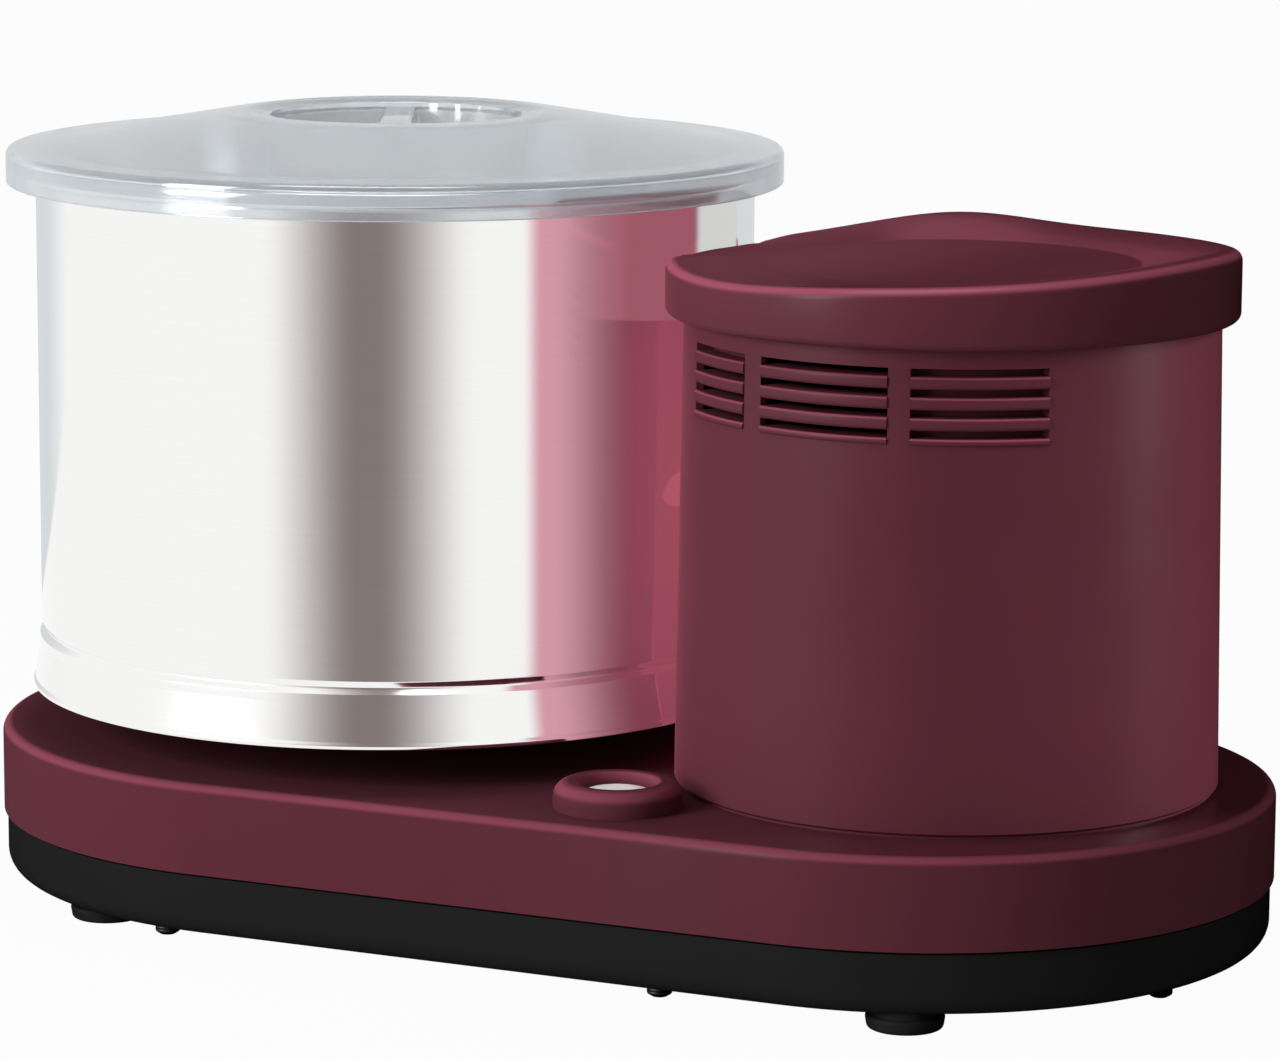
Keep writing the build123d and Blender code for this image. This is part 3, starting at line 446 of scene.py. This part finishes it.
def clear_plastic():
    """Clear moulding with a blue-grey tint, soft inside and glossy outside."""
    clear = Finish(
        "clear_plastic", Transmission_Weight=0.8, IOR=1.47, Coat_Weight=0.6, Coat_Roughness=0.04
    )
    cloud = clear.noise(5, 2)
    # The finger well under the dome is frosted
    radius, z = from_drum_axis(clear)
    well_reach, well_top = 45.5, 259.4
    beside = clear.spread(radius, well_reach * MM, (well_reach + 1) * MM, 1.0, 0.0)
    well = beside * clear.spread(z, well_top * MM, (well_top + 0.6) * MM, 1.0, 0.0)
    body = clear.blend(cloud, (0.74, 0.78, 0.81, 1), (0.8, 0.83, 0.86, 1))
    clear.set("Base Color", clear.blend(well, body, (0.97, 0.98, 0.99, 1)))
    clear.set("Roughness", clear.spread(cloud, 0.3, 0.7, 0.1, 0.14) + well * 0.3)
    return clear.material


def granite():
    """Ground granite: pale body with dark and light crystals."""
    stone = Finish("granite", Specular_IOR_Level=0.35)
    cells = stone.node(
        "ShaderNodeTexVoronoi", {"Vector": stone.place, "Scale": 420.0}, output="Distance"
    )
    speck = stone.noise(700, 3, 0.7)
    body = stone.blend(speck, (0.16, 0.155, 0.15, 1), (0.44, 0.43, 0.41, 1))
    dark = stone.spread(cells, 0.18, 0.32, 1.0, 0.0)
    stone.set("Base Color", stone.blend(dark * 0.7, body, (0.035, 0.034, 0.033, 1)))
    stone.set("Roughness", stone.spread(speck, 0.3, 0.7, 0.45, 0.7))
    stone.bump(speck - dark * 0.5, 0.00012, 0.5)
    return stone.material


def turned_metal(name, colour, roughness):
    """Plated or cast metal with machining lines and a little tarnish."""
    metal = Finish(name, Metallic=1.0)
    lines = metal.noise(60, 4, 0.6, stretch=(1, 1, 30))
    tarnish = metal.noise(45, 5, 0.65)
    metal.set("Base Color", metal.blend(tarnish, tint(colour, 0.82), tint(colour, 1.12)))
    metal.set("Roughness", metal.spread(lines, 0.3, 0.7, roughness - 0.06, roughness + 0.1))
    metal.bump(lines, 0.00002, 0.35)
    return metal.material


def laminations():
    """Stacked electrical sheet: thin dark lines between the sheets."""
    core = Finish("core_steel", Metallic=1.0)
    height = core.node("ShaderNodeSeparateXYZ", {0: core.place}, output=2)
    sheet_pitch = 0.001
    sheet = height.maths("SINE", height * (2 * pi / sheet_pitch), 0) * 0.5 + 0.5
    rust = core.noise(120, 5, 0.7)
    body = core.blend(rust, (0.16, 0.15, 0.145, 1), (0.3, 0.28, 0.27, 1))
    core.set("Base Color", core.blend(sheet, (0.05, 0.05, 0.05, 1), body))
    core.set("Roughness", core.spread(rust, 0.3, 0.7, 0.4, 0.6))
    core.bump(sheet, 0.0001, 0.5)
    return core.material


def rubber():
    """Black rubber with a dusty bloom."""
    black = Finish("black_rubber", Specular_IOR_Level=0.2)
    dust = black.noise(80, 5, 0.7)
    black.set("Base Color", black.blend(dust, (0.008, 0.008, 0.008, 1), (0.022, 0.022, 0.021, 1)))
    black.set("Roughness", black.spread(dust, 0.3, 0.7, 0.6, 0.8))
    black.bump(black.noise(900, 3), 0.00005, 0.4)
    return black.material


FINISHES = {
    "maroon_plastic": moulded("maroon_plastic", (0.13, 0.029, 0.045), 0.32, 0.13, painted_highlight_gain=3.2),
    "black_plastic": moulded("black_plastic", (0.018, 0.018, 0.018), 0.4, 0.06),
    "white_plastic": moulded("white_plastic", (0.9, 0.89, 0.88), 0.25, 0.5),
    "black_rubber": rubber(),
    "polished_steel": polished_steel(),
    "clear_plastic": clear_plastic(),
    "granite": granite(),
    "plated_steel": turned_metal("plated_steel", (0.52, 0.52, 0.53), 0.28),
    "cast_aluminium": turned_metal("cast_aluminium", (0.6, 0.6, 0.6), 0.45),
    "core_steel": laminations(),
}


# ---------------------------------------------------------------- mesh helpers

# Points closer than this many metres are one point
WELD = 1e-7
BEVEL = {"offset_type": "OFFSET", "affect": "EDGES", "profile": 0.5, "material": -1}


def rounded(*corners, steps=6):
    """Closed profile; a corner given as (across, up, radius) is rounded."""
    points = []
    for index, corner in enumerate(corners):
        if len(corner) == 2:
            points.append(corner)
            continue
        here = Vector(corner[:2])
        before = Vector(corners[index - 1][:2]) - here
        after = Vector(corners[(index + 1) % len(corners)][:2]) - here
        before.normalize()
        after.normalize()
        half = before.angle(after) / 2
        centre = here + (before + after).normalized() * (corner[2] / sin(half))
        reach = corner[2] / tan(half)
        first = here + before * reach - centre
        last = here + after * reach - centre
        start = atan2(first.y, first.x)
        swing = (atan2(last.y, last.x) - start + pi) % (2 * pi) - pi
        for step in range(steps + 1):
            angle = start + swing * step / steps
            points.append((centre.x + corner[2] * cos(angle), centre.y + corner[2] * sin(angle)))
    return points


def turn(bm, profile, x, y, steps, start=0.0, sweep=360.0):
    """Spin a closed profile of (radius, height) about the upright axis at x, y."""
    known = set(bm.verts)
    axis = Vector((x * MM, y * MM, 0))
    across = Vector((cos(radians(start)), sin(radians(start)), 0))
    line = [bm.verts.new(axis + across * (r * MM) + Vector((0, 0, z * MM))) for r, z in profile]
    edges = [bm.edges.new(pair) for pair in zip(line, line[1:] + line[:1])]
    full = abs(sweep) >= 360
    bmesh.ops.spin(
        bm,
        geom=line + edges,
        cent=axis,
        axis=(0, 0, 1),
        dvec=(0, 0, 0),
        angle=radians(sweep),
        steps=steps,
        use_merge=full,
        use_duplicate=False,
    )
    if not full:
        rim = [e for e in bm.edges if e.is_boundary and e.verts[0] not in known]
        bmesh.ops.holes_fill(bm, edges=rim, sides=0)
    bmesh.ops.remove_doubles(bm, verts=[v for v in bm.verts if v not in known], dist=WELD)


def add_object(name, bm):
    """Close the seams of a mesh, point its faces outwards and link it."""
    bmesh.ops.remove_doubles(bm, verts=bm.verts, dist=WELD)
    bmesh.ops.recalc_face_normals(bm, faces=bm.faces)
    return link_mesh(name, bm)


def combine(piece, tool, operation="DIFFERENCE"):
    """Cut a closed tool out of a closed piece, or join it on, and keep the result."""
    change = piece.modifiers.new("combine", "BOOLEAN")
    change.operation = operation
    change.solver = "EXACT"
    change.object = tool
    bpy.context.view_layer.update()
    depsgraph = bpy.context.evaluated_depsgraph_get()
    result = bpy.data.meshes.new_from_object(piece.evaluated_get(depsgraph))
    piece.modifiers.clear()
    piece.data = result
    bpy.data.objects.remove(tool)


def dress(piece, body, slot, *nodes, crease=32):
    """Give a finished piece its shading, finish, body and the nodes that it stands for."""
    piece.data.materials.clear()
    piece.data.materials.append(FINISHES[slot])
    piece.data.polygons.foreach_set("use_smooth", [True] * len(piece.data.polygons))
    piece.data.set_sharp_from_angle(angle=radians(crease))
    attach(piece, body)
    if nodes:
        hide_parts(*nodes)
    return piece


def lathe(name, profile, body, slot, *nodes, x=DRUM_X, y=0.0, steps=192, crease=32):
    """One turned piece."""
    bm = bmesh.new()
    turn(bm, profile, x, y, steps)
    return dress(add_object(name, bm), body, slot, *nodes, crease=crease)


def base_loop(inset, steps=72):
    """Plan of the base: two end arcs joined by their outer tangents."""
    left, right = LEFT_RADIUS - inset, RIGHT_RADIUS - inset
    lean = asin((left - right) / (RIGHT_X - LEFT_X))
    near = pi / 2 - lean
    points = []
    for step in range(steps + 1):
        angle = near + 2 * (pi - near) * step / steps
        points.append((LEFT_X + left * cos(angle), left * sin(angle)))
    for step in range(steps + 1):
        angle = -near + 2 * near * step / steps
        points.append((RIGHT_X + right * cos(angle), right * sin(angle)))
    return points


def circle(x, y, radius, count=48):
    """Plan points of a circle."""
    angles = [2 * pi * step / count for step in range(count)]
    return [(x + radius * cos(angle), y + radius * sin(angle)) for angle in angles]


def rectangle(x, y, length, width):
    """Plan points of a rectangle."""
    return [
        (x - length / 2, y - width / 2),
        (x + length / 2, y - width / 2),
        (x + length / 2, y + width / 2),
        (x - length / 2, y + width / 2),
    ]


def loop_edges(bm, points, z):
    """Closed loop of edges through plan points at height z."""
    ring = [bm.verts.new((x * MM, y * MM, z * MM)) for x, y in points]
    return [bm.edges.new(pair) for pair in zip(ring, ring[1:] + ring[:1])]


def slab(bm, outline, low, high):
    """Plate between two heights."""
    edges = loop_edges(bm, outline, low)
    filled = bmesh.ops.triangle_fill(bm, edges=edges, use_beauty=True, use_dissolve=False)
    faces = [f for f in filled["geom"] if isinstance(f, bmesh.types.BMFace)]
    raised = bmesh.ops.extrude_face_region(bm, geom=faces, use_keep_orig=True)
    moved = [v for v in raised["geom"] if isinstance(v, bmesh.types.BMVert)]
    bmesh.ops.translate(bm, vec=(0, 0, (high - low) * MM), verts=moved)


# ---------------------------------------------------------------- base

def rounded_block(name, inset, low, high, edge_level, edge_radius):
    """Block with the base's plan whose edge at one level is rounded."""
    bm = bmesh.new()
    foot = bm.faces.new([bm.verts.new((x * MM, y * MM, low * MM)) for x, y in base_loop(inset)])
    raised = bmesh.ops.extrude_face_region(bm, geom=[foot], use_keep_orig=True)
    top = [v for v in raised["geom"] if isinstance(v, bmesh.types.BMVert)]
    bmesh.ops.translate(bm, vec=(0, 0, (high - low) * MM), verts=top)
    rim = [e for e in bm.edges if all(abs(v.co.z - edge_level * MM) < MM for v in e.verts)]
    bmesh.ops.bevel(bm, geom=rim, offset=edge_radius * MM, segments=8, **BEVEL)
    return add_object(name, bm)


def base_cover():
    """Maroon cover with a rounded deck edge, the drum's spill collar and the button's ring."""
    cover = rounded_block("base_cover_shell", 0, SEAM, DECK, DECK, 3.5)
    hollow = bmesh.new()
    slab(hollow, base_loop(WALL), SEAM - 2, DECK - WALL)
    combine(cover, add_object("hollow", hollow))
    bores = bmesh.new()
    openings = ((DRUM_X, 0, COLLAR_BORE), (TOWER_X, 0, LEAD_BORE), (BUTTON_X, BUTTON_Y, RING_BORE))
    for x, y, radius in openings:
        slab(bores, circle(x, y, radius), DECK - 5, DECK + 3)
    combine(cover, add_object("bores", bores))
    extra = bmesh.new()
    ring = rounded(
        (RING_BORE, DECK - WALL),
        (RING_BORE, DECK + RING_HEIGHT - 4),
        (RING_BORE + 1.9, DECK + RING_HEIGHT, 1.8),
        (RING_RADIUS, DECK + RING_HEIGHT, 5.0),
        (RING_RADIUS, DECK - WALL),
    )
    turn(extra, ring, BUTTON_X, BUTTON_Y, 96)
    collar = rounded(
        (COLLAR_BORE, DECK - WALL),
        (COLLAR_BORE, DECK + COLLAR_HEIGHT, 1.2),
        (COLLAR_RADIUS, DECK + COLLAR_HEIGHT, 1.2),
        (COLLAR_RADIUS, DECK - WALL),
    )
    turn(extra, collar, DRUM_X, 0, 96)
    combine(cover, add_object("ring_and_collar", extra), "UNION")
    dress(cover, "base", "maroon_plastic", "base_cover")


def base_tray():
    """Black tray: rounded lower edge, a lip inside the cover, air slots under the motor."""
    tray = rounded_block("base_tray_shell", 1.2, FOOT_HEIGHT, TRAY_TOP, FOOT_HEIGHT, 7.0)
    lip = bmesh.new()
    slab(lip, base_loop(2.8), TRAY_TOP - 2, TRAY_TOP + 5)
    combine(tray, add_object("lip", lip), "UNION")
    hollow = bmesh.new()
    slab(hollow, base_loop(5.2), FOOT_HEIGHT + 3, TRAY_TOP + 8)
    combine(tray, add_object("hollow", hollow))
    slots = bmesh.new()
    slot_pitch, slot_length, slot_width = 9.0, 46, 3
    for row in range(-3, 4):
        slot = rectangle(TOWER_X, slot_pitch * row, slot_length, slot_width)
        slab(slots, slot, FOOT_HEIGHT - 1, FOOT_HEIGHT + 5)
    combine(tray, add_object("slots", slots))
    dress(tray, "base", "black_plastic", "base_tray")


def feet():
    """Four round rubber feet with a waist and a soft lower edge."""
    profile = rounded(
        (0, FOOT_HEIGHT + 1),
        (0, 1.6),
        (4.2, 1.6, 0.6),
        (4.8, 0, 0.5),
        (FOOT_RADIUS - 0.7, 0, 1.4),
        (FOOT_RADIUS, FOOT_HEIGHT - 2.4, 1.0),
        (FOOT_WAIST, FOOT_HEIGHT - 1.8, 0.6),
        (FOOT_WAIST, FOOT_HEIGHT + 1),
        steps=4,
    )
    bm = bmesh.new()
    for x in (FOOT_X, -FOOT_X):
        for y in (FOOT_Y, -FOOT_Y):
            turn(bm, profile, x, y, 64)
    dress(add_object("rubber_foot_pads", bm), "base", "black_rubber", "rubber_feet")


def screw_points():
    """Plan places of the tray's screws: round the two ends and on the long sides."""
    left = LEFT_RADIUS - SCREW_INSET
    right = RIGHT_RADIUS - SCREW_INSET
    lean = asin((LEFT_RADIUS - RIGHT_RADIUS) / (RIGHT_X - LEFT_X))
    side = (LEFT_RADIUS - (SCREW_SIDE_X - LEFT_X) * sin(lean)) / cos(lean) - SCREW_INSET
    points = [(SCREW_SIDE_X, side), (SCREW_SIDE_X, -side)]
    for angle in (LEFT_SCREW_ANGLE, 180, -LEFT_SCREW_ANGLE):
        points.append((LEFT_X + left * cos(radians(angle)), left * sin(radians(angle))))
    for angle in (RIGHT_SCREW_ANGLE, -RIGHT_SCREW_ANGLE):
        points.append((RIGHT_X + right * cos(radians(angle)), right * sin(radians(angle))))
    return points


def screws():
    """Domed screw heads with a cross recess."""
    head = rounded(
        (0, FOOT_HEIGHT + 0.2),
        (0, FOOT_HEIGHT - 3.0),
        (2.4, FOOT_HEIGHT - 2.9),
        (SCREW_RADIUS, FOOT_HEIGHT - 1.9, 0.8),
        (SCREW_RADIUS, FOOT_HEIGHT + 0.2),
        steps=4,
    )
    heads = bmesh.new()
    for x, y in screw_points():
        turn(heads, head, x, y, 32)
    piece = add_object("tray_screw_heads", heads)
    for length, width in ((3.4, 0.8), (0.8, 3.4)):
        cut = bmesh.new()
        for x, y in screw_points():
            slab(cut, rectangle(x, y, length, width), FOOT_HEIGHT - 4, FOOT_HEIGHT - 1.8)
        combine(piece, add_object("cut", cut))
    dress(piece, "base", "core_steel", "tray_screws")


# ---------------------------------------------------------------- tower and cap

# Louvres: start and width of each group in degrees, and the top of the first slot
LOUVRES = ((-134.6, 20.7), (-109.0, 30.1), (-74.3, 28.8))
SLOT_TOP = 202.5
SLOT_PITCH = 6.3
SLOT_HEIGHT = 2.5
SLOT_ROWS = 4
SLAT_PROUD = 0.7
TOWER_FOOT_RADIUS = 87.6
TOWER_TOP_RADIUS = 85.5


def tower_radius(z):
    """Outer radius of the tower at height z."""
    share = (z - DECK) / (TOWER_TOP - DECK)
    return TOWER_FOOT_RADIUS + (TOWER_TOP_RADIUS - TOWER_FOOT_RADIUS) * share


def nest(radius, low, high):
    """Round tool at the drum's axis that leaves room for the drum."""
    bm = bmesh.new()
    turn(bm, [(0, low), (radius, low), (radius, high), (0, high)], DRUM_X, 0, 240)
    return add_object("nest", bm)


def motor_tower():
    """Tapered tower wall, hollowed round the drum, with louvres near its top."""
    levels = [DECK + 1.6] + [DECK + 22 * k for k in range(1, 6)] + [SLOT_TOP - 30, TOWER_TOP + 3]
    shadow_gap = [(0, DECK), (TOWER_FOOT_RADIUS - 1.2, DECK), (TOWER_FOOT_RADIUS - 1.2, DECK + 0.7)]
    outer = shadow_gap + [(tower_radius(z), z) for z in levels] + [(0, TOWER_TOP + 3)]
    inner = [(0, DECK - 2)] + [(tower_radius(z) - WALL, z) for z in (DECK - 2, TOWER_TOP + 5)]
    inner += [(0, TOWER_TOP + 5)]
    body = bmesh.new()
    turn(body, outer, TOWER_X, 0, 192)
    tower = add_object("motor_tower_wall", body)
    combine(tower, nest(NEST_RADIUS, DECK - 5, TOWER_TOP + 8))
    room = bmesh.new()
    turn(room, inner, TOWER_X, 0, 192)
    room = add_object("room", room)
    combine(room, nest(NEST_RADIUS + WALL, DECK - 8, TOWER_TOP + 10))
    combine(tower, room)
    slots = bmesh.new()
    for start, width in LOUVRES:
        for row in range(SLOT_ROWS):
            top = SLOT_TOP - row * SLOT_PITCH
            low = top - SLOT_HEIGHT
            block = [(80, low), (92, low), (92, top), (80, top)]
            turn(slots, block, TOWER_X, 0, 24, start, width)
    combine(tower, add_object("slots", slots))
    return dress(tower, "base", "maroon_plastic", "motor_tower")


def louvre_slats():
    """Rounded slats that stand a little proud between the slots."""
    bm = bmesh.new()
    depth = SLOT_PITCH - SLOT_HEIGHT
    for start, width in LOUVRES:
        for row in range(SLOT_ROWS):
            top = SLOT_TOP - row * SLOT_PITCH - SLOT_HEIGHT
            wall = tower_radius(top)
            height = depth if row < SLOT_ROWS - 1 else depth * 0.6
            slat = rounded(
                (wall - 9, top - 0.05),
                (wall + SLAT_PROUD, top - 0.05, 0.9),
                (wall + SLAT_PROUD, top - height + 0.05, 0.9),
                (wall - 9, top - height + 0.05),
                steps=4,
            )
            turn(bm, slat, TOWER_X, 0, 28, start + 0.1, width - 0.2)
    return dress(add_object("louvre_slats", bm), "base", "maroon_plastic")


# Swells of the cap's rim: direction in degrees, half width in degrees, height
RIM_SWELLS = ((112, 19, 3.4), (156, 22, -2.9), (-6, 42, 4.0), (-124, 38, -3.4))
RIM_RISE = 1.0
CAP_RADIUS = 91.4
DISH_RADIUS = 60
DISH_DEPTH = 2.2
# The swells grow from this radius over this width, and sink beside the drum
SWELL_START = 54
SWELL_WIDTH = 32
NEST_DROP = 1.4
NEST_DROP_WIDTH = 10


def rim_height(angle):
    """How far the cap's rim stands above its level at a direction in degrees."""
    height = RIM_RISE
    for direction, width, rise in RIM_SWELLS:
        away = (angle - direction + 180) % 360 - 180
        height += rise * exp(-((away / width) ** 2))
    return height


def tower_cap():
    """Cap with a rounded rim that rises and falls, and a shallow dish in its top."""
    profile = rounded(
        (0, TOWER_TOP + 2),
        (CAP_RADIUS - 6, TOWER_TOP + 2),
        (CAP_RADIUS - 5.6, TOWER_TOP, 0.6),
        (CAP_RADIUS, TOWER_TOP, 2.2),
        (CAP_RADIUS, CAP_TOP, 3.4),
        (CAP_RADIUS - 7, CAP_TOP - 0.2, 6.0),
        (76, CAP_TOP - 0.6),
        (68, CAP_TOP - 1.1),
        (DISH_RADIUS, CAP_TOP - DISH_DEPTH, 12.0),
        (DISH_RADIUS / 2, CAP_TOP - DISH_DEPTH),
        (0, CAP_TOP - DISH_DEPTH),
        steps=7,
    )
    bm = bmesh.new()
    turn(bm, profile, TOWER_X, 0, 192)
    for vert in bm.verts:
        x, y, z = vert.co / MM
        radius = Vector((x - TOWER_X, y)).length
        if z > TOWER_TOP + 4 and radius > 1:
            angle = atan2(y, x - TOWER_X) * 180 / pi
            share = min(1, max(0, (radius - SWELL_START) / SWELL_WIDTH))
            share *= share * (3 - 2 * share) * min(1, (z - TOWER_TOP - 4) / 8)
            vert.co.z += rim_height(angle) * share * MM
            edge = (Vector((x - DRUM_X, y)).length - NEST_RADIUS) / NEST_DROP_WIDTH
            vert.co.z -= NEST_DROP * (1 - min(1, max(0, edge))) ** 2 * MM
    cap = add_object("tower_cap_shell", bm)
    combine(cap, nest(NEST_RADIUS, TOWER_TOP - 5, CAP_TOP + 12))
    return dress(cap, "base", "maroon_plastic", "tower_cap", crease=40)


# ---------------------------------------------------------------- drum, lid and button

def drum():
    """Pressed steel drum with a bead, a rolled rim and a flared skirt."""
    wall = rounded(
        (DRUM_EYE, DRUM_FLOOR),
        (DRUM_BORE, DRUM_FLOOR, 4.5),
        (DRUM_BORE, DRUM_RIM - 0.4, 0.3),
        (DRUM_RADIUS + 1.0, DRUM_RIM, 0.5),
        (RIM_RADIUS, DRUM_RIM, 2.2),
        (RIM_RADIUS, DRUM_RIM - 5.6, 2.2),
        (DRUM_RADIUS + 1.2, DRUM_RIM - 5.6, 0.5),
        (DRUM_RADIUS, DRUM_RIM - 4.6, 0.4),
        (DRUM_RADIUS, BEAD + 2.2, 0.8),
        (DRUM_RADIUS - 1.1, BEAD, 0.8),
        (DRUM_RADIUS + 0.7, BEAD - 2.0, 0.8),
        (DRUM_RADIUS + 0.8, DRUM_UNDERSIDE),
        (DRUM_EYE, DRUM_UNDERSIDE),
        steps=5,
    )
    wall = lathe("drum_wall", wall, "drum", "polished_steel", "drum_shell", steps=256, crease=50)
    skirt = rounded(
        (DRUM_RADIUS + 0.8, DRUM_UNDERSIDE),
        (SKIRT_RADIUS - 0.7, SKIRT_BOTTOM + 2.4, 0.8),
        (SKIRT_RADIUS, SKIRT_BOTTOM + 1.4, 0.5),
        (SKIRT_RADIUS - 0.2, SKIRT_BOTTOM, 0.5),
        (SKIRT_RADIUS - 1.6, SKIRT_BOTTOM, 0.4),
        (SKIRT_RADIUS - 1.9, SKIRT_BOTTOM + 3),
        (DRUM_RADIUS - 0.4, DRUM_UNDERSIDE),
        steps=4,
    )
    skirt = lathe(
        "drum_skirt_ring", skirt, "drum", "polished_steel", "drum_skirt", steps=256, crease=50
    )
    return wall, skirt


# Grip bar in the lid's well, and the flutes of the well's wall
BAR_SIZE = (82.4, 11, 17.8)
BAR_DIRECTION = -62
FLUTES = 20
FLUTE_SHARE = 0.008


def lid():
    """Clear domed lid with a turned-down rim, a fluted finger well and a grip bar."""
    shell = rounded(
        (LID_RADIUS, LID_FOOT, 0.6),
        (LID_RADIUS, 252.0, 2.4),
        (116, 252.8, 30),
        (57, 263.2, 60),
        (49.5, LID_TOP, 12.0),
        (44.0, 262.4, 1.0),
        (42.0, 262.6, 0.6),
        (WELL_RADIUS, WELL_FLOOR, 1.6),
        (0, WELL_FLOOR),
        (0, WELL_FLOOR - WELL_WALL),
        (WELL_RADIUS + WELL_WALL, WELL_FLOOR - WELL_WALL, 1.6),
        (44.4, 259.6, 0.8),
        (47.5, 260.2, 1.0),
        (50, 261.6, 2.0),
        (57, 261.0, 40),
        (116, LID_SEAT + 0.6, 28),
        (LID_BORE, LID_SEAT, 1.2),
        (LID_BORE, LID_FOOT, 0.6),
        steps=6,
    )
    bm = bmesh.new()
    turn(bm, shell, DRUM_X, 0, 240)
    for vert in bm.verts:
        away = Vector((vert.co.x - DRUM_X * MM, vert.co.y))
        if 39 * MM < away.length < 45.4 * MM and vert.co.z < (LID_TOP - 1) * MM:
            wave = 1 + FLUTE_SHARE * cos(FLUTES * atan2(away.y, away.x))
            vert.co.x = DRUM_X * MM + away.x * wave
            vert.co.y = away.y * wave
    piece = add_object("lid_shell", bm)
    bar = bmesh.new()
    bmesh.ops.create_cube(bar, size=1)
    bmesh.ops.scale(bar, vec=Vector(BAR_SIZE) * MM, verts=bar.verts)
    bmesh.ops.bevel(bar, geom=bar.edges[:], offset=1.6 * MM, segments=4, **BEVEL)
    slant = Matrix.Rotation(radians(BAR_DIRECTION), 3, "Z")
    bmesh.ops.rotate(bar, cent=(0, 0, 0), matrix=slant, verts=bar.verts)
    bmesh.ops.translate(bar, vec=(DRUM_X * MM, 0, (WELL_FLOOR + 7.4) * MM), verts=bar.verts)
    combine(piece, add_object("bar", bar), "UNION")
    return dress(piece, "lid", "clear_plastic", "lid", crease=45)


def button():
    """White domed push button."""
    profile = rounded(
        (0, BUTTON_FOOT),
        (BUTTON_RADIUS, BUTTON_FOOT, 0.6),
        (BUTTON_RADIUS, BUTTON_TOP - 1.2, 1.0),
        (6.0, BUTTON_TOP - 0.1, 8.0),
        (0, BUTTON_TOP),
        steps=6,
    )
    return lathe(
        "button_dome", profile, "button", "white_plastic", "power_button",
        x=BUTTON_X, y=BUTTON_Y, steps=96,
    )


def light_only(lamp, *pieces):
    """Let a lamp or card light these pieces alone; others see a card as dark."""
    lit = bpy.data.collections.new(lamp.name + "_lit")
    for piece in pieces:
        lit.objects.link(piece)
    lamp.light_linking.receiver_collection = lit
    return lit


# ---------------------------------------------------------------- the finished object

base_cover()
base_tray()
feet()
screws()
tower = motor_tower()
slats = louvre_slats()
cap = tower_cap()
gap_light.light_linking.blocker_collection = light_only(gap_light, tower, cap)
drum_pieces = drum()
for card in (pink_reflection_card, cap_card, rim_card):
    light_only(card, *drum_pieces)
mirrors = (*drum_pieces, lid())
for surround in (floor, dome, back_card):
    light_only(surround, *mirrors)
light_only(side_light, tower, slats)
light_only(top_light, tower, slats, cap, button(), *mirrors)

# Solids that stay as they are take the finish of their material slot
for part in frame["record"]["subparts"]:
    node = frame["nodes"][part["node"]]
    node.data.materials.clear()
    node.data.materials.append(FINISHES[part["material_slot"]])

bpy.context.scene.view_settings.view_transform = "Standard"
